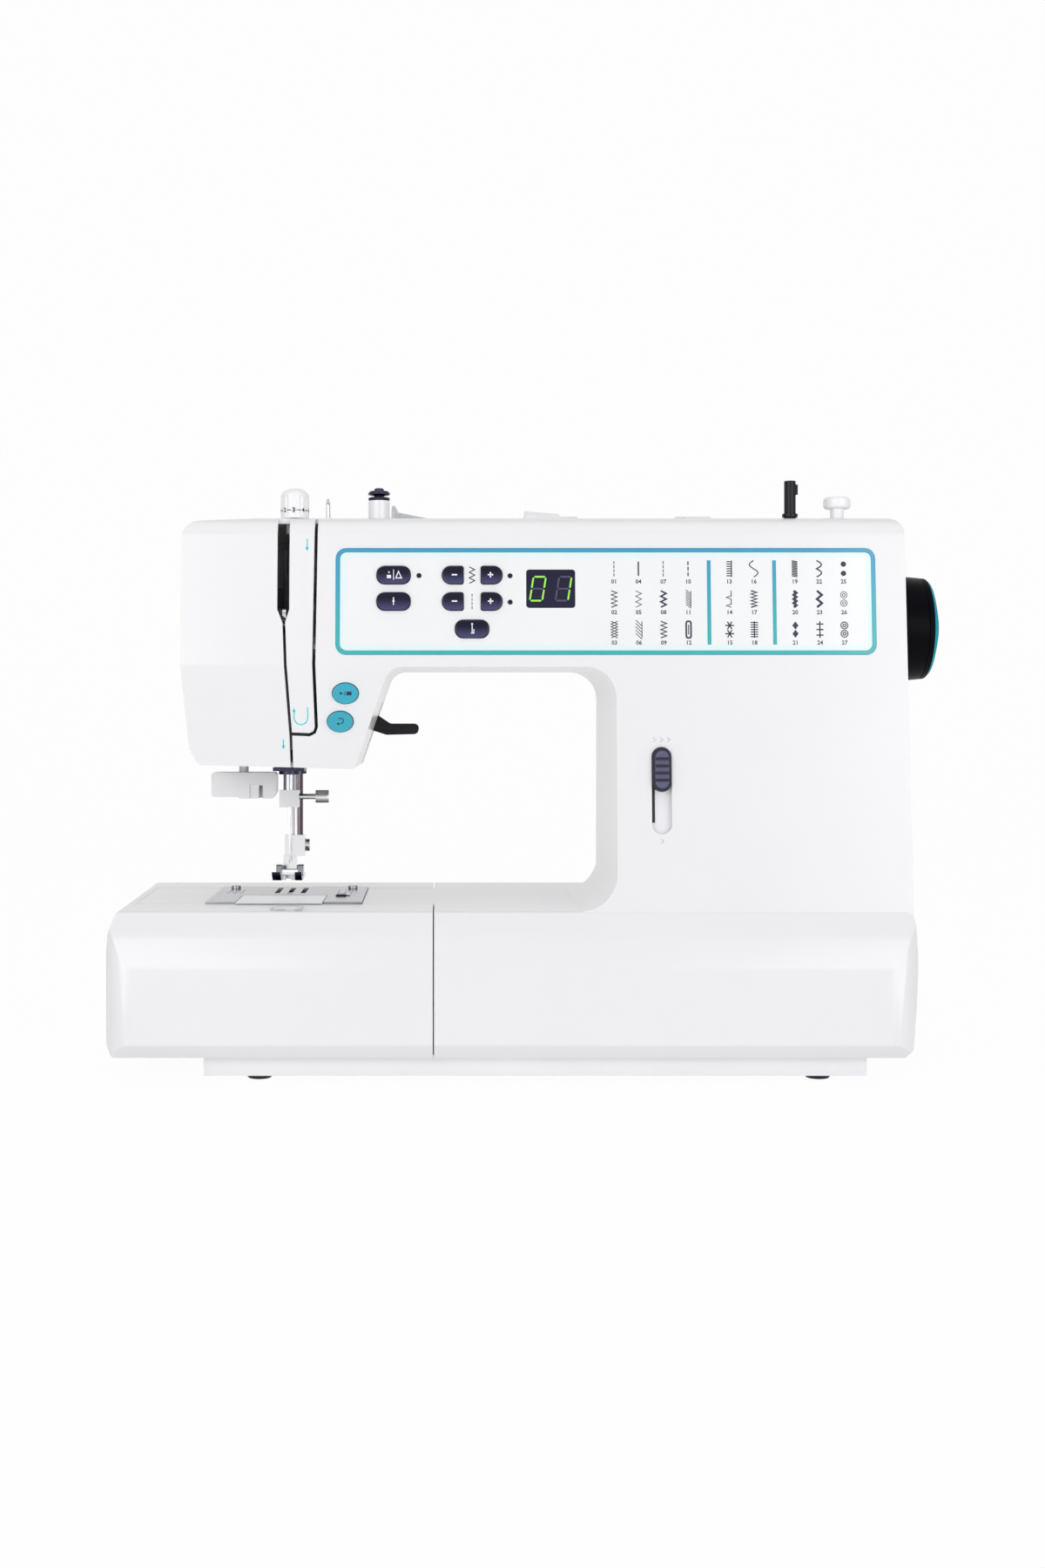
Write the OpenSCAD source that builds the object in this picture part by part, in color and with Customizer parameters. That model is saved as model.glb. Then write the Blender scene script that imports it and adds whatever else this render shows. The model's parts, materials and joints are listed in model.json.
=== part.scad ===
// Free-arm sewing machine with electronic stitch selection, in millimetres.
// X runs along the arm towards the hand wheel, Y towards the back, Z up from the table.
// The origin lies on the table under the middle of the machine.

/* [Body] */
// Height of the arm's top face
arm_top = 272; // [268:1:276]
// Height of the arm's underside over the bed
arm_under = 199; // [196:1:201]
// Height of the bed and of the free arm
bed_top = 82; // [80:0.5:84]
// Height of the head's lower edge
head_bottom = 150; // [148:1:153]
// Height of the widest line of the base
shoulder_z = 57; // [54:1:60]
// Height of the lower edge of the covers
skirt_z = 13.5; // [13:0.5:15]
// Left side of the head
head_left = -173; // [-175:1:-171]
// Right end of the head's lower edge
head_right = -89.4; // [-91:0.5:-87]
// Tower wall at the throat
throat_right = 37; // [35:1:39]
// Right side of the tower
tower_right = 177; // [176:0.5:178]
// Front face at the height of the bed
front_y = -76; // [-77:0.5:-75]
// How far the base stands out beyond the bed, front and back
skirt_out = 12; // [10:1:14]
// How far the base stands out beyond the tower, right
flare = 3.5; // [2:0.5:4]
// Fall of the arm's top face to the left of the threading slot
top_fall = 2; // [0:0.5:3]
// Back face of the arm
arm_back = 38; // [37:0.5:40]
// Backward lean of the front face, in degrees
lean = 4.2; // [3.6:0.2:4.8]
// Forward lean of the head's lower face, in degrees
chin = 8; // [6:1:9]
// Height of the crease where the lower face begins
crease_z = 200; // [196:1:204]
// Wall of the moulded covers
wall = 2.6; // [2.2:0.1:3]
// Where the front and rear covers meet
split_y = 12; // [11:0.5:13]

/* [Tray and free arm] */
// Left end of the base, where the tray meets it
seam_x = -50.7; // [-53:0.5:-48]
// Left end of the tray at its widest line, in the middle of its depth
tray_left = -209.5; // [-211:0.5:-207]
// How far the tray's left end leans in from its widest line to the top
tray_lean = 5; // [4:0.5:7]
// Turn of the tray's left end, in degrees
tray_slant = 1.8; // [1:0.2:3]
// Front face of the free arm
free_front = -40; // [-41:0.5:-39.5]
// Back face of the free arm
free_back = 44; // [43:0.5:46]
// Underside of the free arm
free_bottom = 30; // [28:0.5:31]
// Gap between the tray and the free arm
tray_gap = 0.5; // [0.3:0.1:0.8]
// Thickness of the tray's left end wall
tray_end = 3; // [2.5:0.25:4]
// Seam between the tray and the base
tray_seam = 0.6; // [0.3:0.1:0.8]

/* [Control panel] */
// Left edge of the panel
panel_left = -98.3; // [-100:0.5:-96]
// Right edge of the panel
panel_right = 162.6; // [160:0.5:164]
// Lower edge of the panel
panel_low = 204.6; // [203:0.5:206]
// Upper edge of the panel
panel_high = 256.6; // [255:0.5:258]
// Width of the coloured line round the panel
panel_line = 2.1; // [1.6:0.1:2.6]
// Depth of the recess that takes the panel
panel_deep = 1.6; // [1.2:0.1:1.8]
// Gap round a button
button_gap = 0.35; // [0.25:0.05:0.5]
// Travel of a button
button_travel = 0.8; // [0.6:0.1:0.9]
// How far a button stands out
button_proud = 1.5; // [1.2:0.1:2]
// Travel of the speed slider
slider_travel = 19; // [17:0.5:19.2]

/* [Drive] */
// Height of the main shaft
shaft_z = 220.8; // [219:0.2:222]
// Main shaft, needle bar and lower shaft lie in this plane
shaft_y = 4; // [3.5:0.5:4.5]
// Radius of the main shaft
shaft_r = 5; // [4.5:0.25:5.5]
// Radial running clearance of shafts and bars
run = 0.05; // [0.03:0.01:0.08]
// Height of the lower shaft
lower_z = 46; // [45.5:0.25:46.5]
// Radius of the hand wheel
wheel_r = 27.8; // [26.8:0.2:29]
// Gap between the tower and the hand wheel
wheel_gap = 5.5; // [4.5:0.5:7]
// Width of the hand wheel without its cap
wheel_w = 22.4; // [21:0.2:24]
// How much the hand wheel narrows towards its cap
wheel_taper = 1.4; // [0:0.2:2]
// How far the wheel's cap bulges
cap_bulge = 7; // [4:0.5:7]
// Radius of the large pulley
pulley_r = 28; // [26:0.5:29]
// Radius of the motor's pulley
motor_pulley_r = 7; // [6:0.5:8]

/* [Stitching] */
// Needle's place along the arm
needle_x = -126.2; // [-127:0.2:-125.4]
// Radius of the needle bar
needle_bar_r = 3.2; // [3:0.1:3.4]
// Stroke of the needle bar
needle_stroke = 30; // [28:0.5:30]
// How far the needle stands out of its clamp
needle_out = 30; // [29:0.5:31]
// Presser bar's place along the arm
presser_x = -123; // [-123.6:0.2:-122.4]
// Presser bar's distance behind the front-to-back datum
presser_y = 16; // [15.5:0.5:16.5]
// Radius of the presser bar
presser_r = 3; // [2.8:0.1:3.2]
// Lift of the presser foot
presser_lift = 6.8; // [6.2:0.2:6.8]
// Outer radius of the hook
hook_r = 19.8; // [19:0.2:20]
// Hook's distance in front of the needle
hook_reach = 21; // [20.8:0.1:21.2]
// Outer radius of the bobbin
bobbin_r = 10.3; // [9.8:0.1:10.4]
// Left edge of the needle plate
plate_left = -164.9; // [-166:0.5:-164]
// Right edge of the needle plate
plate_right = -86.4; // [-88:0.5:-86]
// Thickness of the needle plate
plate_t = 1.6; // [1.4:0.1:1.8]

/* [Hidden] */
$fn = 48;

WHITE = [0.93, 0.93, 0.94];
TEAL = [0.25, 0.71, 0.80];
NAVY = [0.12, 0.11, 0.24];
STEEL = [0.72, 0.73, 0.75];
BLACK = [0.08, 0.08, 0.09];
CASTING = [0.55, 0.56, 0.58];

seat = 0.3;                       // gap between pieces that rest on each other
depth = -front_y;                 // half the depth of the bed
base_half = depth + skirt_out;    // half the depth of the base
top_front_y = front_y + (arm_top - bed_top) * tan(lean);
panel_x = (panel_left + panel_right) / 2;
panel_z = (panel_low + panel_high) / 2;
panel_w = panel_right - panel_left;
panel_h = panel_high - panel_low;
hook_y = shaft_y - hook_reach;
bar_top = 262;                    // upper end of the needle bar
casting_foot = 22;                // underside of the casting
lug_low = [158, 168];             // lower lug of the casting
lug_high = [222, 230];            // upper lug of the casting
crank_x = -113;                   // left face of the crank
wind_y = -49;                     // bobbin winder's line along the arm
spool_y = 0;                      // spool pin's line along the arm
spool_z = arm_top;
handle_y = 24;
handle_z = arm_top + 5;
knuckle_r = 4.6;
grip_z = arm_top - 10;
timing_x = throat_right + 23;     // left face of the timing pulleys
timing_r = 14;
belt_x = tower_right - 19;        // left face of the drive pulleys
motor_y = -22;
motor_z = 118;
motor_r = 22;
lifter_x = -104;
threader_x = -150;
lifter_z = 170;
board_deep = 12;                  // front of the control board behind the face
plate_top = bed_top + 0.9;
plate_seat = plate_top - plate_t;
needle_tip = plate_top + needle_stroke / 2 + 0.1;
clamp_z = needle_tip + needle_out;   // lower face of the needle clamp
foot_z = plate_top + presser_lift + 0.7;
wheel_x = tower_right + wheel_gap;
wheel_end_r = wheel_r - wheel_taper;
side_y = [shaft_y - 50, shaft_y + 24];          // opening of the side plate
side_z = [crease_z - 34, arm_top - 10];
cast_left = head_left + 15;
cast_right = tower_right - 27;
motor_x = cast_right - 60;
cast_tower = throat_right + 13;
cast_y = [23, 33];
shaft_lugs = [lifter_x, throat_right + 3, cast_right - 12];   // left faces of the main shaft's lugs
lower_lugs = [lifter_x, throat_right + 7];
motor_lugs = [motor_x + 4, cast_right - 16];
inlet_x = tower_right - 21;       // inner end of the inlet's housing
rocker_x = tower_right - 6.5;     // axis of the power switch
inlet_z = 39;
lip = base_half - 9;               // half the depth of the opening under the base
slider_x = 58.4;
slot_high = 160.5;
slot_low = 118.6;
slot_w = 9.6;
knob_h = 22;

// ---------- outlines ----------
function unit(v) = v / norm(v);

// The arc that rounds corner b between neighbours a and c with radius r.
function corner(a, b, c, r, n) = r <= 0 ? [b] :
    let (u = unit(a - b), w = unit(c - b), h = acos(u * w) / 2,
         m = b + unit(u + w) * r / sin(h),
         p = b + u * r / tan(h), q = b + w * r / tan(h),
         s = atan2(p.y - m.y, p.x - m.x), e = atan2(q.y - m.y, q.x - m.x),
         turn = ((e - s + 540) % 360) - 180)
    [for (i = [0 : n]) m + r * [cos(s + turn * i / n), sin(s + turn * i / n)]];

// A closed outline from points [x, y, radius].
function rounded(pts, n = 6) = [for (i = [0 : len(pts) - 1])
    let (k = len(pts), a = pts[(i + k - 1) % k], b = pts[i], c = pts[(i + 1) % k])
    each corner([a.x, a.y], [b.x, b.y], [c.x, c.y], b[2], n)];

function oval(g = 0) = ellipse(6.2 + g, 5 + g);
function box_outline(w, h, r) = rounded([[-w / 2, -h / 2, r], [w / 2, -h / 2, r],
    [w / 2, h / 2, r], [-w / 2, h / 2, r]], 5);

function ellipse(a, b, n = 36) = [for (i = [0 : n - 1]) [a * cos(360 * i / n), b * sin(360 * i / n)]];

// A strip of width w along the points p.
function side(p, i) = let (d = unit(p[min(i + 1, len(p) - 1)] - p[max(i - 1, 0)])) [-d.y, d.x];
function ribbon(p, w) = concat([for (i = [0 : len(p) - 1]) p[i] + side(p, i) * w / 2],
    [for (i = [len(p) - 1 : -1 : 0]) p[i] - side(p, i) * w / 2]);

// Extrusions that stand along the machine's axes: outline (X, Z) along Y, (Y, Z) along X.
module along_y(y0, y1) translate([0, y1, 0]) rotate([90, 0, 0]) linear_extrude(y1 - y0) children();
module along_x(x0, x1) translate([x0, 0, 0]) rotate([90, 0, 90]) linear_extrude(x1 - x0) children();
module rod_x(x0, x1, y, z, r) translate([x0, y, z]) rotate([0, 90, 0]) cylinder(h = x1 - x0, r = r);
module rod_y(x, y0, y1, z, r) translate([x, y0, z]) rotate([-90, 0, 0]) cylinder(h = y1 - y0, r = r);
module rod_z(x, y, z0, z1, r) translate([x, y, z0]) cylinder(h = z1 - z0, r = r);
module block(a, b) translate(a) cube(b - a);

function face_y(z) = front_y + (z - bed_top) * tan(lean);
function chin_y(z) = face_y(crease_z) + (crease_z - z) * tan(chin);

// Local frame on the leaning front face: x right, y up the face, z outwards.
module on_face(x, z) translate([x, face_y(z), z]) rotate([90 - lean, 0, 0]) children();
module on_chin(x, z) translate([x, chin_y(z), z]) rotate([90 + chin, 0, 0]) children();

// ---------- covers ----------
module skirt_profile() polygon(rounded([
    [-base_half + 6, skirt_z, 0], [-base_half, skirt_z + 7, 3], [-base_half, shoulder_z, 12],
    [-base_half + 4, shoulder_z + 15, 12], [-depth, bed_top, 2],
    [depth, bed_top, 2], [base_half - 4, shoulder_z + 15, 12], [base_half, shoulder_z, 12],
    [base_half, skirt_z + 7, 3], [base_half - 6, skirt_z, 0]]));

module tower_profile() polygon(rounded([
    [face_y(60), 60, 0], [top_front_y, arm_top, 10], [arm_back, arm_top, 14],
    [arm_back + 6, 60, 0]]));

module arm_outline() polygon(rounded([
    [head_left, arm_top - top_fall, 9], [needle_x - 2.4, arm_top, 0], [tower_right, arm_top, 8],
    [tower_right + 1, 60, 0],
    [throat_right, 60, 0], [throat_right, arm_under, 14.5], [head_right + 17, arm_under, 9],
    [head_right, head_bottom - 0.5, 2], [head_left + 8, head_bottom + 1.5, 4],
    [head_left + 3.5, head_bottom + 9, 4], [head_left, crease_z, 14]]));

module base_outline() polygon(rounded([
    [seam_x, skirt_z, 0], [tower_right - 5, skirt_z, 0], [tower_right - 1, skirt_z + 4, 2],
    [tower_right + flare, shoulder_z, 10], [tower_right, bed_top, 4], [seam_x, bed_top, 0]]));

module base_plan() polygon(rounded([
    [seam_x, -base_half, 0], [tower_right + flare, -base_half, 16],
    [tower_right + flare, base_half, 16], [seam_x, base_half, 0]]));

// The block that the covers are moulded round, drawn in by inset.
module shape(inset) {
    intersection() {
        along_y(-base_half, base_half) offset(delta = -inset) base_outline();
        along_x(seam_x, tower_right + flare) offset(delta = -inset) skirt_profile();
        translate([0, 0, skirt_z]) linear_extrude(bed_top) offset(delta = -inset) base_plan();
    }
    difference() {
        intersection() {
            along_y(-base_half, base_half) offset(delta = -inset) arm_outline();
            along_x(head_left, tower_right + 2) offset(delta = -inset) tower_profile();
        }
        along_x(head_left - 1, head_right + 20) polygon([
            [front_y - 5, crease_z + inset * 0.2], [face_y(crease_z) + inset, crease_z + inset * 0.2],
            [chin_y(head_bottom - 5) + inset, head_bottom - 5], [front_y - 5, head_bottom - 5]]);
    }
}

// Fillet where the tower's wall meets the bed.
module throat_fillet() difference() {
    intersection() {
        block([throat_right - 16.5, -depth, bed_top - 3], [throat_right + 1, arm_back, bed_top + 18]);
        along_x(throat_right - 20, throat_right + 2) tower_profile();
    }
    rod_y(throat_right - 18, -base_half, base_half, bed_top + 18, 18);
}

slot_path = [[-123.3, 222], [-122.4, 200], [-120.1, 165.6], [-119.6, head_bottom - 6]];
u_path = [[-107.6, arm_top + 5], [-108.7, crease_z], [-107.7, 170], [-108.6, 167.4], [-111, 166.2],
    [-120.4, 166.6]];
module thread_slots() {
    // the two threading channels and the link between their lower ends
    along_y(-base_half, -54.5) {
        polygon([[-126.5, arm_top + 5], [-120.6, arm_top + 5], [-120.6, 226.7], [-122.6, 220.4],
            [-124, 220.4], [-126.5, 226.7]]);
        polygon(ribbon(slot_path, 1.4));
        polygon(ribbon(u_path, 1.6));
    }
}

module spool_trough(r) rod_x(-98 - (r - 21), 14 + (r - 21), spool_y, spool_z, r);

module cover_cuts() {
    on_face(panel_x, panel_z) {
        translate([0, 0, -panel_deep]) linear_extrude(6) polygon(box_outline(panel_w, panel_h, 5));
        translate([0, 0, -6]) linear_extrude(8) polygon(box_outline(panel_w - 8, panel_h - 8, 3));
    }
    on_face(slider_x, (slot_high + slot_low) / 2) translate([0, 0, -6])
        linear_extrude(12) polygon(box_outline(slot_w, slot_high - slot_low, slot_w / 2 - 0.05));
    thread_slots();
    on_chin(-93.5, 186.2) translate([0, 0, -9]) linear_extrude(14) polygon(oval(button_gap));
    on_chin(-96.1, 172.6) translate([0, 0, -9]) linear_extrude(14) polygon(oval(button_gap));
    // opening under the head for the bars
    block([-164, -30, head_bottom - 4], [-97, 30, head_bottom + 6]);
    // slot for the lifter, hole for the side plate, the shaft's hole
    block([-98, presser_y - 1.5, head_bottom - 4], [-78, presser_y + 8.5, 183]);
    along_x(head_left - 2, head_left + wall + 4) polygon(box_frame(0));
    rod_x(tower_right - 6, tower_right + 4, shaft_y, shaft_z, shaft_r + 4);
    // holes in the top
    rod_z(-119.4, -46, arm_top - 8, arm_top + 1, 4.4);
    block([120, wind_y - 3.3, arm_top - 8], [134.5, wind_y + 3.3, arm_top + 1]);
    rod_z(147.3, wind_y, arm_top - 8, arm_top + 1, 3.4);
    spool_trough(21);
    // open left end of the base, where the free arm joins it
    block([seam_x - 1, free_front + 3, free_bottom + 3], [seam_x + wall + 1, free_back - 3, bed_top - 3]);
    // holes for the inlet's housing in the right side
    block([tower_right - 6, 18, inlet_z - 10], [tower_right + 6, 50, inlet_z + 10]);
    block([tower_right - 6, -2, inlet_z - 12], [tower_right + 6, 12, inlet_z + 12]);
}
function box_frame(g) = rounded([[side_y[0] + g, side_z[0] + g, 8], [side_y[1] - g, side_z[0] + g, 8],
    [side_y[1] - g, side_z[1] - g, 8], [side_y[0] + g, side_z[1] - g, 8]], 5);

module cover() difference() {
    union() {
        difference() {
            shape(0);
            shape(wall);
            // the base is open underneath
            block([seam_x + wall - 0.2, -lip, skirt_z - 1], [tower_right - 8, lip, skirt_z + wall + 4]);
        }
        throat_fillet();
        intersection() {
            shape(0);
            difference() {
                spool_trough(21 + wall);
                block([-140, -60, spool_z + 0.1], [60, 60, spool_z + 40]);
            }
        }
    }
    cover_cuts();
}

module front_cover() color(WHITE) {
    difference() {
        cover();
        block([head_left - 20, split_y, -1], [tower_right + 20, base_half + 20, arm_top + 40]);
    }
    // post of the winding tension
    rod_z(-78.2, -36, arm_top - 1, arm_top + 10.4, 5.4);
}

module rear_cover() color(WHITE) {
    difference() {
        cover();
        block([head_left - 20, -base_half - 20, -1], [tower_right + 20, split_y, arm_top + 40]);
    }
    // ears that carry the handle
    for (x = [21.2, 77.6]) difference() {
        union() {
            rod_x(x, x + 4, handle_y, handle_z, knuckle_r);
            block([x, handle_y - knuckle_r, arm_top - 1], [x + 4, handle_y + knuckle_r - 1, handle_z]);
        }
        rod_x(x - 1, x + 5, handle_y, handle_z, 2.5 + run);
    }
}

module face_cover() color(WHITE) {
    along_x(head_left, head_left + 2) polygon(box_frame(seat));
    along_x(head_left + 2, head_left + 3.4) polygon(box_frame(3));
}

// ---------- free arm, tray, base ----------
module tray_end_shape(inset) translate([tray_left, 0, 0]) rotate([0, 0, tray_slant])
    along_y(-base_half - 10, base_half + 10) offset(delta = -inset) polygon(rounded([
        [4, skirt_z, 0], [0, skirt_z + 7, 3], [0, shoulder_z, 10], [tray_lean * 0.3, shoulder_z + 15, 10],
        [tray_lean, bed_top, 2], [230, bed_top, 0], [230, skirt_z, 0]]));

module free_arm_block(inset) intersection() {
    along_x(tray_left, seam_x) offset(delta = -inset) polygon(rounded([
        [free_front, free_bottom, 6], [free_back, free_bottom, 6],
        [free_back, bed_top, 1.5], [free_front, bed_top, 1.5]], 5));
    translate([tray_end + tray_gap, 0, 0]) tray_end_shape(inset);
}

module free_arm() color(WHITE) difference() {
    free_arm_block(0);
    free_arm_block(wall - 0.4);
    // open right end, and the seat and opening of the needle plate
    block([seam_x - wall, free_front + 3, free_bottom + 3], [seam_x + 1, free_back - 3, bed_top - 3]);
    block([plate_left, free_front - 1, plate_seat], [plate_right, free_back - 2 + seat, bed_top + 2]);
    block([plate_left + 3, free_front + 2.6, bed_top - 5], [plate_right - 3, free_back - 5, bed_top + 1]);
}

tray_turn = base_half * tan(tray_slant);
module tray_plan() polygon(rounded([
    [tray_left + tray_turn, -base_half, 14], [seam_x - tray_seam, -base_half, 0],
    [seam_x - tray_seam, base_half, 0], [tray_left - tray_turn, base_half, 14]]));

module accessory_tray() color(WHITE) difference() {
    intersection() {
        along_x(tray_left - 20, seam_x - tray_seam) skirt_profile();
        tray_end_shape(0);
        linear_extrude(bed_top + 5) tray_plan();
    }
    // bay that takes the free arm, open to the right, top and bottom
    difference() {
        block([tray_left - 20, free_front - tray_gap, 0], [seam_x + 5, free_back + tray_gap, bed_top + 5]);
        difference() {
            block([tray_left - 30, -base_half, -1], [tray_left + 30, base_half, bed_top + 6]);
            translate([tray_end, 0, 0]) tray_end_shape(0);
        }
    }
    // finger recess in front of the bobbin cover
    block([needle_x - 3.6, front_y + 4, bed_top - 1], [needle_x + 11.6, front_y + 22, bed_top + 1]);
    // hollow legs, open towards the free arm
    intersection() {
        along_x(tray_left - 20, seam_x - wall) offset(delta = -wall) skirt_profile();
        translate([1, 0, 0]) tray_end_shape(wall);
        block([tray_left - 20, -base_half, skirt_z], [seam_x, base_half, bed_top - wall]);
        translate([14, 0, 0]) tray_end_shape(0);
    }
}

base_screws = [for (x = [-30, 50, 140], y = [-50, 50]) [x, y]];
casting_feet = [for (x = [cast_tower + 8, cast_right - 10], y = [-8, 26]) [x, y]];
module base_plate() color(CASTING) difference() {
    union() {
        difference() {
            union() {
                block([tray_left + 48.4, 4 - depth, 3], [tower_right - 20.5, depth - 4, 13]);
                block([seam_x + wall + seat, -lip + seat, 12.8], [tower_right - 8 - seat, lip - seat, 16]);
            }
            // trays open upwards, with ribs left between them
            for (x0 = [-157, -106, -40, 26, 92])
                block([x0, 8 - depth, 6], [x0 < -60 ? x0 + 48 : x0 + 60, depth - 8, 20]);
        }
        for (p = base_screws) rod_z(p.x, p.y, 3, 15, 5);
        for (p = casting_feet) rod_z(p.x, p.y, 3, casting_foot, 6);
    }
    for (p = base_screws) rod_z(p.x, p.y, 2, 9, 1.55);
}

module rubber_feet() color(BLACK) for (x = [-135.3, 135.3], y = [-60, 60])
    translate([x, y, 0]) rotate_extrude() polygon([[0, 0], [5.4, 0], [6.1, 0.8], [6.1, 3], [0, 3]]);

// ---------- needle plate ----------
cover_x = [-149.2, -106.2];
cover_back = -6;
plate_front = free_front + 0.4;
plate_screws = [plate_left + 8, plate_right - 8];
feed_rows = [-133, needle_x, -119.4];
module needle_plate() color(STEEL) difference() {
    block([plate_left + seat, plate_front, plate_seat], [plate_right - seat, free_back - 2, plate_top]);
    block([cover_x[0] - seat, free_front - 2, bed_top - 2],
        [cover_x[1] + seat, cover_back + 0.8, plate_top + 1]);
    rod_z(needle_x, shaft_y, bed_top - 2, plate_top + 1, 1.4);
    for (x = feed_rows)
        block([x - 1.3, x == needle_x ? 8.8 : 5.8, bed_top - 2], [x + 1.3, 34, plate_top + 1]);
    block([-101.5, -12, bed_top - 2], [-94, -5, plate_top + 1]);
    for (x = plate_screws) rod_z(x, 30, bed_top - 2, plate_top + 1, 1.7);
}

module bobbin_cover() color([0.85, 0.9, 0.92, 0.5]) {
    block([cover_x[0], free_front + 0.4, bed_top - 0.4], [cover_x[1], cover_back, plate_top]);
    // lip over the tray's edge
    block([cover_x[0], free_front - 3, bed_top + seat], [cover_x[1], free_front + 1, plate_top]);
    rod_x(cover_x[0] + 3, cover_x[1] - 3, cover_back - 1, bed_top - 0.4, 1);
}

module cover_latch() color(BLACK) {
    block([-101, -11.7, bed_top - 1.2], [-96, -5.3, plate_top + 0.9]);
    block([-101, -11.7, bed_top - 2.8], [-92, -5.3, bed_top - 1]);
}

// ---------- control panel ----------
pill = [16, 8.5];
dee = [10, 8.5];
row_high = 243.3;
row_low = 230.5;
pill_x = -70.3;
minus_x = -41.7;
plus_x = -22.9;
lock = [-32.4, 217.2];
display = [5.6, 236.7, 23.7, 18.7];
lamps = [[-58, 243.1], [-14, 243], [-14, 230.2]];

function pill_outline(g = 0) = box_outline(pill.x + 2 * g, pill.y + 2 * g, 4);
function dee_outline(w, h, left, gap = 0) = let (g = gap, r = h / 2 + g - 0.2, s = left ? 1 : -1)
    rounded([[-s * (w / 2 + g), -h / 2 - g, r], [s * (w / 2 + g), -h / 2 - g, 1.2],
             [s * (w / 2 + g), h / 2 + g, 1.2], [-s * (w / 2 + g), h / 2 + g, r]], 6);

// Places its children on the panel's face at x, z.
module on_panel(x, z) on_face(panel_x, panel_z)
    translate([x - panel_x, (z - panel_z) / cos(lean), 0]) children();

module panel_holes(g) {
    for (z = [row_high, row_low]) {
        on_panel(pill_x, z) panel_hole() polygon(pill_outline(g));
        on_panel(minus_x, z) panel_hole() polygon(dee_outline(dee.x, dee.y, true, g));
        on_panel(plus_x, z) panel_hole() polygon(dee_outline(dee.x, dee.y, false, g));
    }
    on_panel(lock.x, lock.y) panel_hole() polygon(pill_outline(g));
}
module panel_hole() translate([0, 0, -8]) linear_extrude(12) children();

module panel_frame() color(TEAL) on_face(panel_x, panel_z) difference() {
    translate([0, 0, -panel_deep]) linear_extrude(panel_deep + 0.25)
        polygon(box_outline(panel_w - 0.2, panel_h - 0.2, 4.9));
    translate([0, 0, -4]) linear_extrude(8)
        polygon(box_outline(panel_w - 2 * panel_line, panel_h - 2 * panel_line, 3.2));
}

module control_panel() color(WHITE) difference() {
    on_face(panel_x, panel_z) {
        translate([0, 0, -panel_deep]) linear_extrude(panel_deep + 0.1)
            polygon(box_outline(panel_w - 2 * panel_line - 0.1, panel_h - 2 * panel_line - 0.1, 3.2));
        // posts that carry the control board
        for (x = [-1, 1], y = [-1, 1]) translate([x * (panel_w / 2 - 12), y * (panel_h / 2 - 8), -board_deep])
            cylinder(h = board_deep, r = 2.6);
    }
    panel_holes(button_gap);
    on_panel(display[0], display[1]) translate([0, 0, -8]) linear_extrude(12)
        polygon(box_outline(display[2], display[3], 1.5));
    for (p = lamps) on_panel(p.x, p.y) translate([0, 0, -8]) cylinder(h = 12, r = 1.2);
}

// The display's window and the three lenses of the indicators.
module display_window() color(NAVY) {
    on_panel(display[0], display[1]) translate([0, 0, -panel_deep])
        linear_extrude(panel_deep + 0.05) polygon(box_outline(display[2] - 0.1, display[3] - 0.1, 1.4));
    for (p = lamps) on_panel(p.x, p.y)
        translate([0, 0, -board_deep + 0.4]) cylinder(h = board_deep, r = 1.15);
}

module key(outline) {
    translate([0, 0, -panel_deep - 0.6]) linear_extrude(panel_deep + 0.6 + button_proud) polygon(outline);
    translate([0, 0, -board_deep + button_travel + 0.15])
        cylinder(h = board_deep - button_travel - panel_deep, r = 1.4);
}

module mode_button_upper() color(WHITE) on_panel(pill_x, row_high) key(pill_outline());
module mode_button_lower() color(WHITE) on_panel(pill_x, row_low) key(pill_outline());
module lock_button() color(WHITE) on_panel(lock.x, lock.y) key(pill_outline());
module width_minus_button() color(WHITE) on_panel(minus_x, row_high) key(dee_outline(dee.x, dee.y, true));
module width_plus_button() color(WHITE) on_panel(plus_x, row_high) key(dee_outline(dee.x, dee.y, false));
module length_minus_button() color(WHITE) on_panel(minus_x, row_low) key(dee_outline(dee.x, dee.y, true));
module length_plus_button() color(WHITE) on_panel(plus_x, row_low) key(dee_outline(dee.x, dee.y, false));

module oval_button() {
    translate([0, 0, -wall - 1.6]) linear_extrude(wall + 1.6 + 1.4) polygon(oval());
    translate([0, 0, -wall - 1.6]) linear_extrude(1) polygon(ellipse(8, 6.6));
}
module start_button() color(TEAL) on_chin(-93.5, 186.2) oval_button();
module reverse_button() color(TEAL) on_chin(-96.1, 172.6) oval_button();

module speed_slider() color(NAVY) on_face(slider_x, slot_high - knob_h / 2) {
    translate([0, 0, -wall - 0.4]) linear_extrude(wall + 0.4 + 1.6)
        polygon(box_outline(slot_w - 0.6, knob_h - 0.6, slot_w / 2 - 0.35));
    // raised grip with its ridges
    translate([0, 0, 1]) linear_extrude(1.4) polygon(box_outline(6.6, knob_h - 4, 3.25));
    for (i = [-1.5 : 1 : 1.5]) translate([-3.2, i * 3.4 - 0.7, 2]) cube([6.4, 1.4, 1.3]);
    // plate behind the wall
    translate([0, -slider_travel / 2 + 1, -wall - 2]) linear_extrude(1.6)
        polygon(box_outline(13, knob_h + slider_travel + 6, 1.5));
}

// ---------- frame and electrics ----------
module bore_x(x0, x1, y, z, r) rod_x(x0 - 1, x1 + 1, y, z, r);

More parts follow.
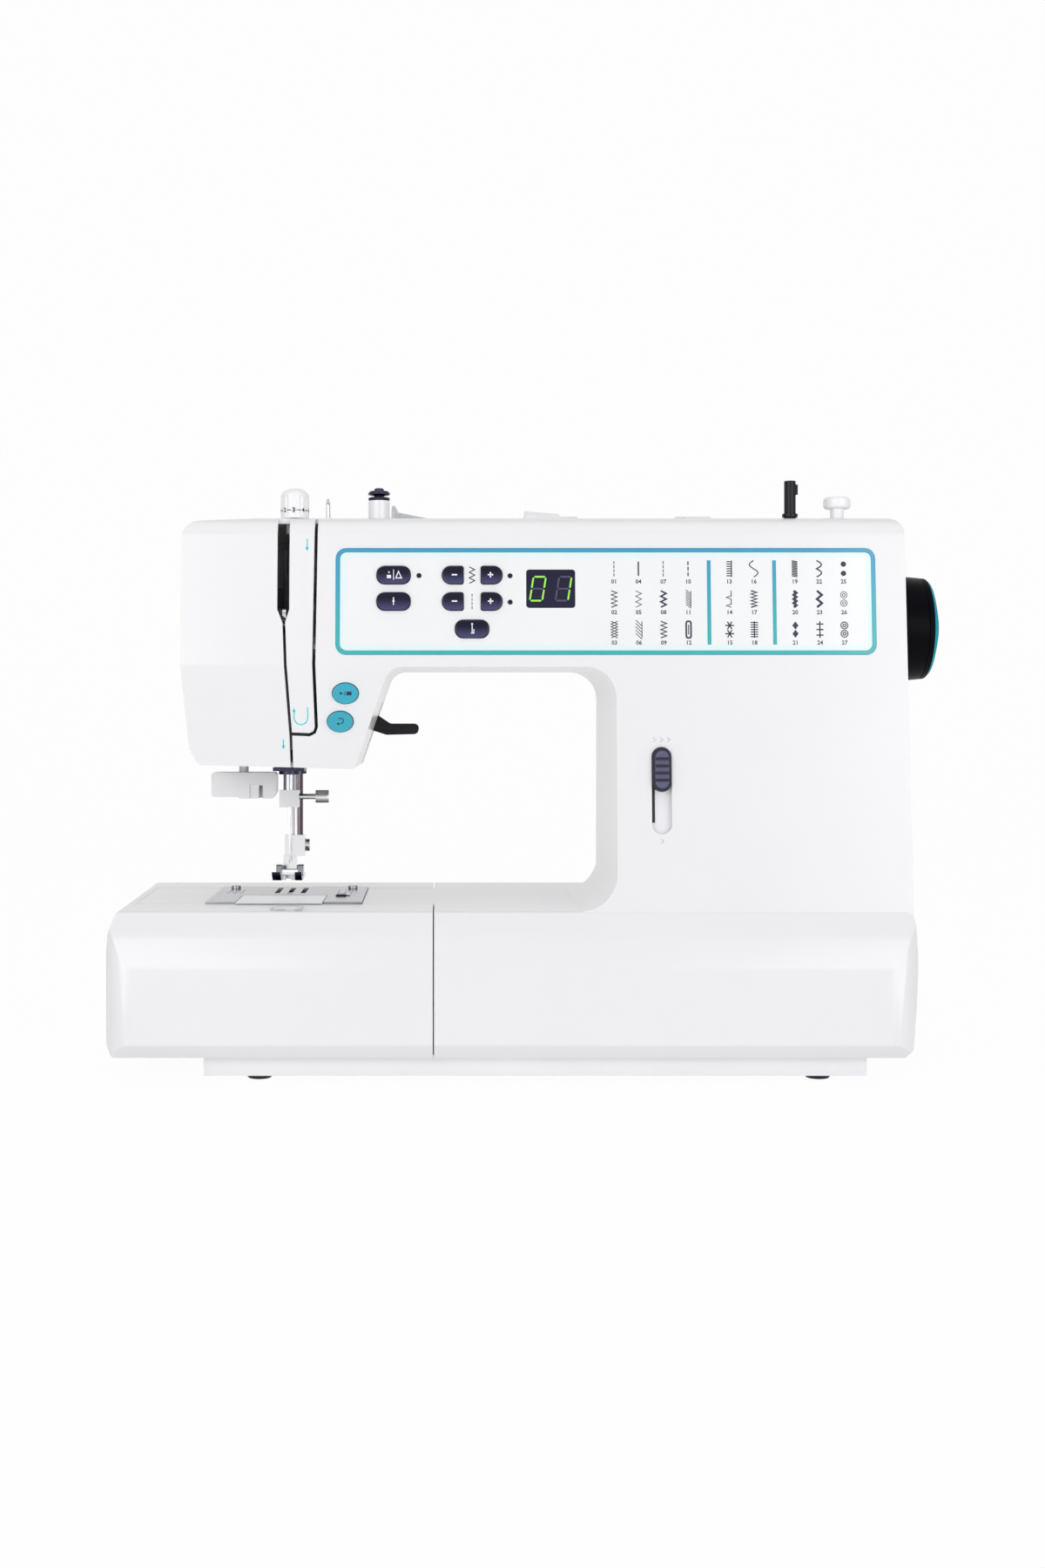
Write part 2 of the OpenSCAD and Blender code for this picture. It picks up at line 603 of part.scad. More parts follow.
module arm_casting() color(CASTING) difference() {
    union() {
        along_y(cast_y[0], cast_y[1]) polygon(rounded([
            [cast_left, arm_under + 6, 4], [cast_left, arm_top - 29, 6], [cast_right, arm_top - 29, 8],
            [cast_right, casting_foot, 2], [cast_tower, casting_foot, 2], [cast_tower, free_bottom + 6, 4],
            [plate_left + 3, free_bottom + 6, 2], [plate_left + 3, 60, 4], [cast_tower, 60, 8],
            [cast_tower, arm_under + 6, 10]], 4));
        // plate of the head down to the lower lug
        along_y(cast_y[0], cast_y[1]) polygon([[cast_left, lug_low[0] - 2], [-100, lug_low[0] - 2],
            [-100, arm_under + 7], [cast_left, arm_under + 7]]);
        block([needle_x - 7.8, shaft_y - 8.5, lug_high[0]], [needle_x + 8.2, cast_y[0], lug_high[1]]);
        block([cast_left, shaft_y - 8.5, lug_low[0]], [needle_x + 10.2, cast_y[0], lug_low[1]]);
        // pivots of the take-up lever and of the lifter
        block([-141, -27, 218], [-135, 23, 232]);
        rod_x(-135, -122, -22, 225, 3);
        rod_y(lifter_x, presser_y - 2.4, cast_y[0] + 1, lifter_z, 2.5);
        // lugs of the main shaft
        for (x = shaft_lugs) block([x, shaft_y - 11, shaft_z - 11], [x + 10, 23, shaft_z + 11]);
        // lugs of the lower shaft, the feed's rail and the hook's bearing
        for (x = lower_lugs) block([x, shaft_y - 8, lower_z - 8], [x + 10, 23, lower_z + 8]);
        block([-138, 8, 60], [-114, 33, 65.7]);
        for (x = plate_screws) rod_z(x, 30, 58, bed_top - 1, 3.4);
        block([-150, hook_y - 8, 51], [-142, 23, 57]);
        block([-150, hook_y - 8, 51], [-118, hook_y + 7, 57]);
        // foot and motor brackets
        block([cast_tower, -16, casting_foot], [cast_right, cast_y[1], 28]);
        for (x = motor_lugs) block([x, -6, motor_z - 12], [x + 8, cast_y[0], motor_z + 12]);
    }
    for (x = shaft_lugs) bore_x(x, x + 10, shaft_y, shaft_z, 8);
    for (x = lower_lugs) bore_x(x, x + 10, shaft_y, lower_z, 6);
    rod_z(needle_x, shaft_y, lug_low[0] - 1, lug_low[1] + 1, 5.5);
    rod_z(needle_x, shaft_y, lug_high[0] - 1, lug_high[1] + 1, 5.5);
    rod_z(presser_x, presser_y, lug_low[0] - 1, lug_low[1] + 1, 4.8);
    rod_z(presser_x, presser_y, lug_high[0] - 1, lug_high[1] + 1, presser_r + run);
    rod_z(threader_x, shaft_y, lug_low[0] - 1, lug_low[1] + 1, 2.5 + run);
    rod_z(needle_x, hook_y, 50, 58, 4 + run);
    rod_x(motor_x, cast_right, motor_y, motor_z, motor_r + 0.05);
    for (x = plate_screws) rod_z(x, 30, 70, bed_top, 1.35);
}

module bushes() color(STEEL) {
    for (x = shaft_lugs) difference() {
        rod_x(x - 1.5, x + 11.5, shaft_y, shaft_z, 8);
        bore_x(x - 1.5, x + 11.5, shaft_y, shaft_z, shaft_r + run);
    }
    for (x = lower_lugs) difference() {
        rod_x(x - 1.5, x + 11.5, shaft_y, lower_z, 6);
        bore_x(x - 1.5, x + 11.5, shaft_y, lower_z, 4 + run);
    }
    for (z = [lug_low, lug_high]) difference() {
        rod_z(needle_x, shaft_y, z[0] - (z == lug_low ? 13 : 0), z[1], 5.5);
        rod_z(needle_x, shaft_y, z[0] - 15, z[1] + 1, needle_bar_r + run);
    }
    // plate under the bush of the needle bar
    difference() {
        block([needle_x - 8.2, shaft_y - 6, lug_low[0] - 11.2],
            [needle_x + 8.2, shaft_y + 6, lug_low[0] - 9.4]);
        rod_z(needle_x, shaft_y, lug_low[0] - 15, lug_low[0] - 8, needle_bar_r + run);
    }
    difference() {
        rod_z(presser_x, presser_y, lug_low[0] - 13, lug_low[1], 4.8);
        rod_z(presser_x, presser_y, lug_low[0] - 15, lug_low[1] + 1, presser_r + run);
    }
}

module control_board() color([0.1, 0.4, 0.25]) on_face(panel_x, panel_z) difference() {
    translate([0, 0, -board_deep - 1.6]) linear_extrude(1.6)
        polygon(box_outline(panel_w - 12, panel_h - 6, 1));
    for (x = [-1, 1], y = [-1, 1]) translate([x * (panel_w / 2 - 12), y * (panel_h / 2 - 8), -board_deep - 2])
        cylinder(h = 3, r = 1.4);
}

module power_inlet() color(BLACK) difference() {
    union() {
        block([inlet_x, -1.6, inlet_z - 11.6], [tower_right + 0.2, 11.6, inlet_z + 11.6]);
        block([inlet_x, 11.6, inlet_z - 11.6], [tower_right - 4, 18.4, inlet_z + 11.6]);
        block([inlet_x, 18.4, inlet_z - 9.6], [tower_right + 0.2, 49.6, inlet_z + 9.6]);
    }
    rod_y(rocker_x, 0.2, 9.8, inlet_z, 9.9);
    block([tower_right - 7, 0.2, inlet_z - 9.9], [tower_right + 1, 9.8, inlet_z + 9.9]);
    rod_y(rocker_x, -1.2, 11.2, inlet_z, 1.6);
    difference() {
        along_x(tower_right - 14, tower_right + 1) polygon(rounded([[23, inlet_z - 7, 3],
            [45, inlet_z - 7, 3], [45, inlet_z + 7, 3], [23, inlet_z + 7, 3]], 5));
        for (y = [30, 38]) rod_x(tower_right - 15, tower_right - 3, y, inlet_z, 1.2);
    }
}

module power_switch() color(BLACK) {
    difference() {
        rod_y(rocker_x, 0.6, 9.4, inlet_z, 9.5);
        // two faces of the rocker
        translate([rocker_x + 6.6, 0, inlet_z]) for (s = [-1, 1]) rotate([0, s * 10 - 9, 0])
            block([0, 0, s > 0 ? 0 : -14], [6, 12, s > 0 ? 14 : 0]);
    }
    rod_y(rocker_x, -0.9, 10.9, inlet_z, 1.5);
}

module lamp() color([0.95, 0.95, 0.9]) {
    block([-112.5, -22, 151], [-98.5, -10, 157]);
    block([-114, -22, 156.2], [-98, 23, 157.4]);
}

module screw_z(x, y, z, r, h, up) translate([x, y, z]) mirror([0, 0, up ? 0 : 1]) difference() {
    union() {
        cylinder(h = 1.6, r = r);
        translate([0, 0, -h]) cylinder(h = h + 0.1, r = r * 0.5);
    }
    translate([-r, -0.35, 0.9]) cube([2 * r, 0.7, 1.5]);
}
module screws() color(STEEL) {
    for (x = plate_screws) screw_z(x, 30, plate_top, 2.6, 6, true);
    for (p = base_screws) screw_z(p.x, p.y, 2.9, 2.9, 5, false);
}

// ---------- drive ----------
module hand_wheel() color(BLACK) translate([wheel_x, shaft_y, shaft_z]) rotate([0, 90, 0])
    rotate_extrude($fn = 72) polygon([
        [shaft_r + 0.02, 0], [11, 0], [11, 3], [wheel_r - 5, 3], [wheel_r - 4, 0], [wheel_r - 1, 0.6],
        [wheel_r, 2.4], [wheel_end_r, wheel_w - 4.2], [wheel_end_r - 4, wheel_w - 4.2],
        [wheel_end_r - 4, wheel_w - 1.8], [12, wheel_w - 1.8], [12, wheel_w - 6],
        [shaft_r + 0.02, wheel_w - 6]]);

module wheel_ring() color(TEAL) translate([wheel_x + wheel_w - 4, shaft_y, shaft_z]) rotate([0, 90, 0])
    rotate_extrude($fn = 72) polygon(concat(
        [[wheel_end_r - 3.8, 0], [wheel_end_r - 0.1, 0], [wheel_end_r - 0.3, 2.6]],
        [for (i = [0 : 8]) let (k = 1 - i / 8) [(wheel_end_r - 1.6) * k, 4 + cap_bulge * (1 - pow(k, 1.25))]],
        [[0, cap_bulge + 2], [8, cap_bulge + 0.2], [wheel_end_r - 6, 3.2], [wheel_end_r - 3.8, 2.8]]));

module main_shaft() color(STEEL) {
    rod_x(crank_x + 0.5, wheel_x + wheel_w - 8, shaft_y, shaft_z, shaft_r);
    // crank with its balance weight and pin
    translate([crank_x, shaft_y, shaft_z]) rotate([90, 0, 90]) linear_extrude(6) polygon(concat(
        [for (i = [0 : 12]) let (a = 200 + i * 11.67) 16 * [cos(a), sin(a)]],
        [for (i = [0 : 6]) let (a = 60 + i * 10) [0, 1] * 13 + 4.5 * [cos(a - 30), sin(a - 30)] * 0.9]));
    rod_x(crank_x - 3.4, crank_x + 1, shaft_y, shaft_z + 12, 3);
}

module pulley(x, w, y, z, r, bore) translate([x, y, z]) rotate([0, 90, 0]) rotate_extrude($fn = 72) polygon([
    [bore, 0], [r + 2, 0], [r + 2, 1.2], [r, 1.2], [r, w - 1.2], [r + 2, w - 1.2], [r + 2, w], [bore, w]]);

module drive_pulley() color(BLACK) {
    pulley(belt_x, 9, shaft_y, shaft_z, pulley_r, shaft_r + 0.02);
    pulley(timing_x, 9, shaft_y, shaft_z, timing_r, shaft_r + 0.02);
}

module belt(x, w, y0, z0, r0, y1, z1, r1, t) along_x(x, x + w) difference() {
    hull() {
        translate([y0, z0]) circle(r0 + t);
        translate([y1, z1]) circle(r1 + t);
    }
    hull() {
        translate([y0, z0]) circle(r0);
        translate([y1, z1]) circle(r1);
    }
}
module drive_belts() color([0.15, 0.15, 0.15]) {
    belt(belt_x + 1.6, 5.8, shaft_y, shaft_z, pulley_r + seat, motor_y, motor_z, motor_pulley_r + seat, 1.6);
    belt(timing_x + 1.6, 5.8, shaft_y, shaft_z, timing_r + seat, shaft_y, lower_z, timing_r + seat, 1.5);
}

module motor() color([0.3, 0.31, 0.33]) {
    difference() {
        rod_x(motor_x, cast_right, motor_y, motor_z, motor_r);
        rod_x(cast_right - 10, cast_right + 2, motor_y, motor_z, 3 + run);
    }
    rod_x(motor_x - 4, motor_x + 0.5, motor_y, motor_z, 10);
}

module motor_pulley() color(STEEL) {
    rod_x(cast_right - 9, belt_x + 9, motor_y, motor_z, 3);
    pulley(belt_x, 9, motor_y, motor_z, motor_pulley_r, 2.9);
}

module gear(r, h, teeth, bore) difference() {
    linear_extrude(h) polygon([for (i = [0 : teeth * 4 - 1]) let (a = i * 90 / teeth,
        k = (i % 4 < 2) ? r : r - 1.2) k * [cos(a), sin(a)]]);
    if (bore > 0) translate([0, 0, -1]) cylinder(h = h + 2, r = bore);
}

module lower_shaft() color(STEEL) {
    rod_x(needle_x - 4, timing_x + 9, shaft_y, lower_z, 4);
    translate([needle_x - 4, shaft_y, lower_z]) rotate([0, 90, 0]) gear(12, 8, 20, 0);
    pulley(timing_x, 9, shaft_y, lower_z, timing_r, 3.9);
}

module rotary_hook() color(STEEL) translate([needle_x, hook_y, 0]) {
    difference() {
        rotate_extrude($fn = 72) polygon([[0, 59], [8, 59], [hook_r - 3, 62], [hook_r, 64.5], [hook_r, 76.8],
            [hook_r - 1.4, 76.8], [hook_r - 1.4, 63.6], [0, 63.6]]);
        // mouth under the hook's point
        rotate([0, 0, 60]) translate([0, -4, 68]) cube([hook_r + 3, 8, 6]);
    }
    translate([0, 0, 40]) cylinder(h = 20, r = 4);
    translate([0, 0, 37.5]) gear(8.4, 10, 14, 0);
}

module bobbin_case() color(BLACK) translate([needle_x, hook_y, 0]) difference() {
    rotate_extrude($fn = 72) polygon([
        [0, 64.1], [hook_r - 2.2, 64.1], [hook_r - 2.2, 77.4], [hook_r - 0.6, 77.4],
        [hook_r - 0.6, 79], [bobbin_r + 1.2, 79], [bobbin_r + 1.2, 66], [0, 66]]);
    translate([0, hook_r, 72]) cube([9, 8, 20], center = true);
}

module bobbin() color([0.85, 0.87, 0.9]) translate([needle_x, hook_y, 66.3])
    rotate_extrude($fn = 72) polygon([[3, 0], [bobbin_r, 0], [bobbin_r, 1], [4.6, 1], [4.6, 10.5],
        [bobbin_r, 10.5], [bobbin_r, 11.5], [3, 11.5]]);

module feed_dog() color(STEEL) {
    block([-135, 10.5, 66], [-117, 30, 72]);
    block([-134.4, 10.5, 72], [-118, 14, 78]);
    for (x = feed_rows) translate([x, 0, 0]) along_x(-0.9, 0.9) polygon(concat(
        [[30, 72], [30, 81]],
        [for (i = [8 : -1 : 0]) each [[12.6 + i * 2, plate_top + 0.3], [11.4 + i * 2, plate_top - 0.7]]],
        [[11, 72]]));
}

// ---------- needle and presser ----------
module needle_bar() color(STEEL) {
    difference() {
        rod_z(needle_x, shaft_y, clamp_z + 1.2, bar_top, needle_bar_r);
        rod_z(needle_x, shaft_y, clamp_z, clamp_z + 7, 0.85);
    }
    difference() {
        block([-131.6, shaft_y - 5, 200], [-120.4, shaft_y + 5, 208]);
        rod_z(needle_x, shaft_y, 199, 209, needle_bar_r - 0.05);
    }
}

module needle_clamp() color(STEEL) {
    difference() {
        block([-131.2, shaft_y - 5, clamp_z], [-121, shaft_y + 5, clamp_z + 9]);
        rod_z(needle_x, shaft_y, clamp_z + 1.2, clamp_z + 10, needle_bar_r + 0.02);
        rod_z(needle_x, shaft_y, clamp_z - 1, clamp_z + 2, 0.85);
        rod_x(-122.5, -120, shaft_y, clamp_z + 5.4, 1.5);
    }
    // thumb screw
    rod_x(-122.4, -112, shaft_y, clamp_z + 5.4, 1.45);
    difference() {
        rod_x(-112.5, -105.6, shaft_y, clamp_z + 5.4, 3.4);
        block([-106.4, -1, clamp_z + 4.9], [-105, 9, clamp_z + 5.9]);
    }
}

module needle() color(STEEL) {
    rod_z(needle_x, shaft_y, needle_tip + 20, clamp_z + 7, 0.8);
    difference() {
        rod_z(needle_x, shaft_y, needle_tip + 2.5, needle_tip + 20.5, 0.4);
        block([needle_x - 0.2, shaft_y - 1, needle_tip + 3.5],
            [needle_x + 0.2, shaft_y + 1, needle_tip + 5.2]);
    }
    translate([needle_x, shaft_y, needle_tip]) rotate_extrude() polygon([[0, 0], [0.4, 2.6], [0, 2.6]]);
}

module take_up_lever() color(STEEL) {
    difference() {
        rod_x(-134.4, -122.6, -22, 225, 5);
        bore_x(-134.4, -122.6, -22, 225, 3 + run);
    }
    difference() {
        translate([0, -22, 225]) along_x(-124.6, -122.6) polygon(rounded([
            [0, -4.2, 0], [-20, -4.6, 8], [-37.5, -3.4, 2.9], [-38.5, 3, 2.9], [-20, 1.6, 8],
            [-1, 4.2, 0]], 4));
        bore_x(-124.6, -122.6, -22, 225, 3 + run);
        bore_x(-124.6, -122.6, -56.5, 225, 1.5);
    }
}

bracket_z = 177;
module presser_bar() color(STEEL) {
    rod_z(presser_x, presser_y, foot_z + 13.1, lug_high[1] + 16, presser_r);
    difference() {
        rod_z(presser_x, presser_y, bracket_z, bracket_z + 7, 6);
        rod_z(presser_x, presser_y, bracket_z - 1, bracket_z + 8, presser_r - 0.05);
    }
    block([presser_x + 4.5, presser_y - 3, bracket_z + 1], [-111.5, presser_y + 3, bracket_z + 5]);
}

// A closed coil: rings of wire joined along a helix.
module coil(r, wire, height, turns, steps = 14, sides = 6) {
    n = turns * steps;
    pts = [for (i = [0 : n]) let (a = 360 * i / steps, z = height * i / n)
        for (k = [0 : sides - 1]) let (b = 360 * k / sides, q = r + wire * cos(b))
            [q * cos(a), q * sin(a), z + wire * sin(b)]];
    walls = [for (i = [0 : n - 1], k = [0 : sides - 1]) let (j = (k + 1) % sides)
        [i * sides + k, (i + 1) * sides + k, (i + 1) * sides + j, i * sides + j]];
    ends = [[for (k = [0 : sides - 1]) k], [for (k = [sides - 1 : -1 : 0]) n * sides + k]];
    polyhedron(points = pts, faces = concat(walls, ends), convexity = 8);
}
module presser_spring() color(STEEL) translate([presser_x, presser_y, bracket_z + 7 + 0.9])
    coil(4.4, 0.6, lug_high[0] - bracket_z - 7 - 1.8, 7);

foot_pin = [14, foot_z + 5.2];
module foot_holder() color(STEEL) {
    difference() {
        union() {
            block([-129.3, 10.2, foot_z + 11.6], [-118.6, 21, foot_z + 22.6]);
            translate([0, 0, foot_z]) along_x(-130, -123)
                polygon(rounded([[10.6, 4.2, 0.6], [17.4, 4.2, 0.6], [20.4, 12.1, 0], [10.6, 12.1, 0]], 3));
        }
        rod_z(presser_x, presser_y, foot_z + 12.6, foot_z + 24, presser_r + 0.02);
        rod_x(-131, -122, foot_pin.x, foot_pin.y, 1.5);
        block([-131, foot_pin.x - 1.2, foot_z], [-122, foot_pin.x + 1.2, foot_pin.y]);
    }
    // holder screw
    rod_x(-118.8, -116.4, presser_y, foot_z + 17.1, 3.4);
}

module presser_foot() color(STEEL) {
    translate([0, 0, foot_z]) difference() {
        union() {
            along_x(needle_x - 8, needle_x + 7.3) polygon(rounded([
                [-10, 5, 0.6], [-10.6, 4, 0.4], [-5.5, 0, 4], [15.5, 0, 0], [22, 0.6, 0.6], [22, 2, 0.8],
                [-5, 2, 4]], 4));
            for (x = [-133.8, -122.5]) along_x(x, x + 3.1)
                polygon(rounded([[9, 1.6, 0], [19, 1.6, 0], [16.5, 7, 1.6], [11.5, 7, 1.6]], 4));
        }
        block([needle_x - 3.4, shaft_y - 2, -2], [needle_x + 3.4, shaft_y + 2.2, 4]);
        block([needle_x - 3.4, -14, -2], [needle_x + 3.8, shaft_y - 6, 8]);
        block([needle_x - 1.4, -14, -2], [needle_x + 1.4, shaft_y, 8]);
    }
    rod_x(-131.4, -121.6, foot_pin.x, foot_pin.y, 1.2);
}

module presser_lifter() color(BLACK) translate([lifter_x, presser_y, lifter_z]) difference() {
    union() {
        rod_y(0, -2.2, 6.4, 0, 5.6);
        along_y(0.4, 6.4) polygon(rounded([
            [0, -4.5, 0], [18, -1.4, 3], [28, -4.6, 3], [44.5, -4.2, 2.4], [45.6, 1.4, 2.4],
            [30, 1.4, 3], [22, 6.8, 4], [0, 4.5, 0]], 4));
    }
    rod_y(0, -4, 9, 0, 2.5 + run);
}

module needle_threader() color(WHITE) {
    difference() {
        along_y(shaft_y - 6, shaft_y + 6) polygon(rounded([
            [needle_x - 40.1, head_bottom - 16.6, 1.6], [needle_x - 26.4, head_bottom - 16.6, 0],
            [needle_x - 25.4, head_bottom - 17.4, 0], [needle_x - 8.4, head_bottom - 17.4, 1.6],
            [needle_x - 6.4, head_bottom - 14, 1], [needle_x - 6.4, head_bottom - 3.8, 1.6],
            [needle_x - 40.1, head_bottom - 3.8, 1.6]], 4));
        // mouth of the hook's guide
        block([needle_x - 20.2, shaft_y - 7, head_bottom - 19],
            [needle_x - 12.9, shaft_y - 4.6, head_bottom - 10]);
        block([needle_x - 15.6, shaft_y - 7, head_bottom - 19],
            [needle_x - 13.6, shaft_y + 3, head_bottom - 10.6]);
    }
    rod_z(threader_x, shaft_y, head_bottom - 5, arm_under + 16, 2.5);
}

// ---------- top of the arm ----------
module tension_dial() color(WHITE) translate([-119.4, -46, 0]) {
    difference() {
        translate([0, 0, arm_top + seat]) rotate_extrude() polygon(concat([[0, 0], [7, 0], [7, 11]],
            [for (i = [1 : 6]) [7 * cos(i * 15), 11 + 4.2 * sin(i * 15)]]));
        for (a = [0 : 30 : 330]) rotate([0, 0, a])
            translate([7.6, 0, arm_top + 2]) cylinder(h = 9, r = 1.1, $fn = 10);
    }
    rod_z(0, 0, arm_top - 7, arm_top + 1, 4.35);
}

module thread_guide() color(STEEL) translate([-103.9, -31, arm_top]) rotate([0, 0, 90]) {
    translate([-5, -3.5, 0]) cube([10, 7, 1.4]);
    for (x = [-3, 3]) translate([x, 0, 1]) cylinder(h = 7.5, r = 0.9, $fn = 24);
    translate([0, 0, 8.5]) rotate([90, 0, 0])
        rotate_extrude(angle = 180) translate([3, 0]) circle(r = 0.9, $fn = 16);
}

module winder_tension() color(STEEL) translate([-78.2, -36, arm_top + 10.4]) rotate_extrude() polygon([
    [0, 0], [4.8, 0], [5.5, 0.9], [5.3, 1.6], [2.4, 2.2], [2.4, 2.5], [5.3, 3.1], [5.5, 3.8], [4.8, 4.8],
    [2.4, 5], [2.4, 6], [1.8, 6.4], [0, 6.4]]);

module winder_spindle() color(WHITE) translate([124.2, wind_y, 0]) {
    rod_z(0, 0, arm_top - 8, arm_top + 18.7, 2.85);
    rod_z(0, 0, arm_top + seat + 0.6, arm_top + 2.6, 3.8);
    translate([2.4, -0.8, arm_top + 12]) cube([1.4, 1.6, 5]);
    rod_z(0, 0, arm_top - 8, arm_top - wall - seat, 5);
}

module winder_stop() color(WHITE) translate([147.3, wind_y, 0]) {
    rod_z(0, 0, arm_top - 6, arm_top + 6, 3.3);
    rod_z(0, 0, arm_top - 6, arm_top - wall - seat, 5);
    translate([0, 0, arm_top + 5.1]) rotate_extrude()
        polygon([[0, 0], [5.8, 0], [6.6, 1], [6.6, 4.4], [5.6, 5.5], [0, 5.5]]);
}

module spool_pin() color(WHITE) {
    rod_x(-96.5, 14, spool_y, spool_z, 2.6);
    // foot that widens towards the spool
    translate([-4, spool_y, spool_z]) rotate([0, 90, 0]) cylinder(h = 18, r1 = 9.6, r2 = 8.2);
}

module spool_cap() color([0.9, 0.93, 0.94]) translate([-72.7, spool_y, spool_z]) rotate([0, 90, 0])
    rotate_extrude($fn = 64)
        polygon([[2.65, 0], [12.4, 0], [12.4, 1.8], [9, 3.4], [4.6, 24.9], [2.65, 24.9]]);

module carry_handle() color(WHITE) {
    for (x = [-3.2, 82]) rod_x(x, x + (x < 0 ? 24 : 14), handle_y, handle_z, knuckle_r);
    rod_x(20, 25.2, handle_y, handle_z, 2.5);
    rod_x(77.6, 83, handle_y, handle_z, 2.5);
    for (x = [2, 86]) along_x(x, x + 8) polygon(rounded([
        [handle_y, handle_z - 4.2, 0], [handle_y + 18, handle_z - 4.6, 8], [handle_y + 20, grip_z, 3],
        [handle_y + 28, grip_z, 3], [handle_y + 28, handle_z - 2, 10], [handle_y + 14, handle_z + 4, 8],
        [handle_y, handle_z + 4.4, 0]], 4));
    rod_x(2, 94, handle_y + 24, grip_z, 5);
}

front_cover();
rear_cover();
face_cover();
free_arm();
accessory_tray();
base_plate();
rubber_feet();
needle_plate();
bobbin_cover();
cover_latch();
panel_frame();
control_panel();
display_window();
mode_button_upper();
mode_button_lower();
lock_button();
width_minus_button();
width_plus_button();
length_minus_button();
length_plus_button();
start_button();
reverse_button();
speed_slider();
arm_casting();
control_board();
power_inlet();
power_switch();
lamp();
screws();
hand_wheel();
wheel_ring();
main_shaft();
bushes();
drive_pulley();
drive_belts();
motor();
motor_pulley();
lower_shaft();
rotary_hook();
bobbin_case();
bobbin();
feed_dog();
needle_bar();
needle_clamp();
needle();
take_up_lever();
presser_bar();
presser_spring();
foot_holder();
presser_foot();
presser_lifter();
needle_threader();
tension_dial();
thread_guide();
winder_tension();
winder_spindle();
winder_stop();
spool_pin();
spool_cap();
carry_handle();
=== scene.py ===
"""Looks of a free-arm sewing machine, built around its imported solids."""

import json
import logging
import math
from dataclasses import dataclass, field
from enum import Enum
from typing import Any, Callable, Iterable, Sequence

import bmesh
import bpy
import numpy as np
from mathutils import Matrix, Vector
from numpy.typing import NDArray

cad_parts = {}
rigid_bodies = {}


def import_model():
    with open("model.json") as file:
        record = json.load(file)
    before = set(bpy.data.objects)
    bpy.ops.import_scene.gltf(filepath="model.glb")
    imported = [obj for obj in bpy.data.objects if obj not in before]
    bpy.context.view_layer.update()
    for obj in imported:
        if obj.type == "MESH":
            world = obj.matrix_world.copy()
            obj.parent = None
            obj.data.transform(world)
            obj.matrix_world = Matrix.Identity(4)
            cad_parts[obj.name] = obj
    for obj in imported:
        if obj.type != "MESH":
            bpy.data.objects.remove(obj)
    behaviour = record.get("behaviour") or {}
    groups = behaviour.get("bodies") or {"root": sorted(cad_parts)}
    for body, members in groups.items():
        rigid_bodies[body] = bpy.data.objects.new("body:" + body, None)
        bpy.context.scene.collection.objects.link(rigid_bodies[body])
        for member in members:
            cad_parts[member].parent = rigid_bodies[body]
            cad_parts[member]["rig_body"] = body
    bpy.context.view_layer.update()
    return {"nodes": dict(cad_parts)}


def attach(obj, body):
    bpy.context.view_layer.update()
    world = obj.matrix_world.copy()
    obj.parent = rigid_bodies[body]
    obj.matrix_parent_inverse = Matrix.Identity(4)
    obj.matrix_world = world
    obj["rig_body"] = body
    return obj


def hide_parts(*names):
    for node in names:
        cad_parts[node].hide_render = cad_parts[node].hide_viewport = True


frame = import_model()

LOG = logging.getLogger("sewing_machine")
Points = NDArray[np.float64]
Outline = Points | Sequence[Sequence[float]]
RGB = tuple[int, int, int]
Pair = tuple[float, float]
Triple = tuple[float, float, float]
MM = 0.001

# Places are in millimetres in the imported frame, and angles in degrees. The front leans back by
# FRONT_LEAN from the point FRONT_Y, FRONT_Z, and under CHIN_Z the head leans by CHIN_LEAN.
# Edges sharper than SOFTEN_ABOVE are softened.
FRONT_Y = -76.0
FRONT_Z = 82.0
FRONT_LEAN = 4.2
CHIN_Z = 200.0
CHIN_LEAN = -8.0
NEEDLE_X = -126.2
KEY_ROWS = (243.3, 230.5, 217.2)
MODE_KEY_X = -70.3
MINUS_KEY_X = -40.9
LOCK_KEY_X = -32.4
PLUS_KEY_X = -23.5
SOFTEN_ABOVE = 32.0


# ---- shader maths
class Link:
    """A socket of a material's nodes that takes part in Python expressions."""

    def __init__(self, tree: "Tree", socket: Any) -> None:
        """Keeps the tree and the socket."""
        self.tree = tree
        self.socket = socket

    def _math(self, operation: str, *values: Any) -> "Link":
        """One Math node on the values."""
        inputs = dict(enumerate(values))
        return self.tree.add("ShaderNodeMath", {"operation": operation}, inputs)

    def __add__(self, other: Any) -> "Link":
        """The sum."""
        return self._math("ADD", self, other)

    def __radd__(self, other: Any) -> "Link":
        """The sum with a number on the left."""
        return self._math("ADD", other, self)

    def __sub__(self, other: Any) -> "Link":
        """The difference."""
        return self._math("SUBTRACT", self, other)

    def __rsub__(self, other: Any) -> "Link":
        """The difference from a number on the left."""
        return self._math("SUBTRACT", other, self)

    def __mul__(self, other: Any) -> "Link":
        """The product."""
        return self._math("MULTIPLY", self, other)

    def __truediv__(self, other: Any) -> "Link":
        """The quotient."""
        return self._math("DIVIDE", self, other)

    def absolute(self) -> "Link":
        """The value without its sign."""
        return self._math("ABSOLUTE", self)

    def at_least(self, other: Any) -> "Link":
        """The larger of two values."""
        return self._math("MAXIMUM", self, other)

    def at_most(self, other: Any) -> "Link":
        """The smaller of two values."""
        return self._math("MINIMUM", self, other)

    def above(self, limit: float) -> "Link":
        """1 where the value is above the limit, else 0."""
        return self._math("GREATER_THAN", self, limit)

    def smooth(self, low: float, high: float) -> "Link":
        """A soft step from 0 at low to 1 at high."""
        settings = {"interpolation_type": "SMOOTHSTEP"}
        inputs = {"Value": self, "From Min": low, "From Max": high}
        return self.tree.add("ShaderNodeMapRange", settings, inputs)


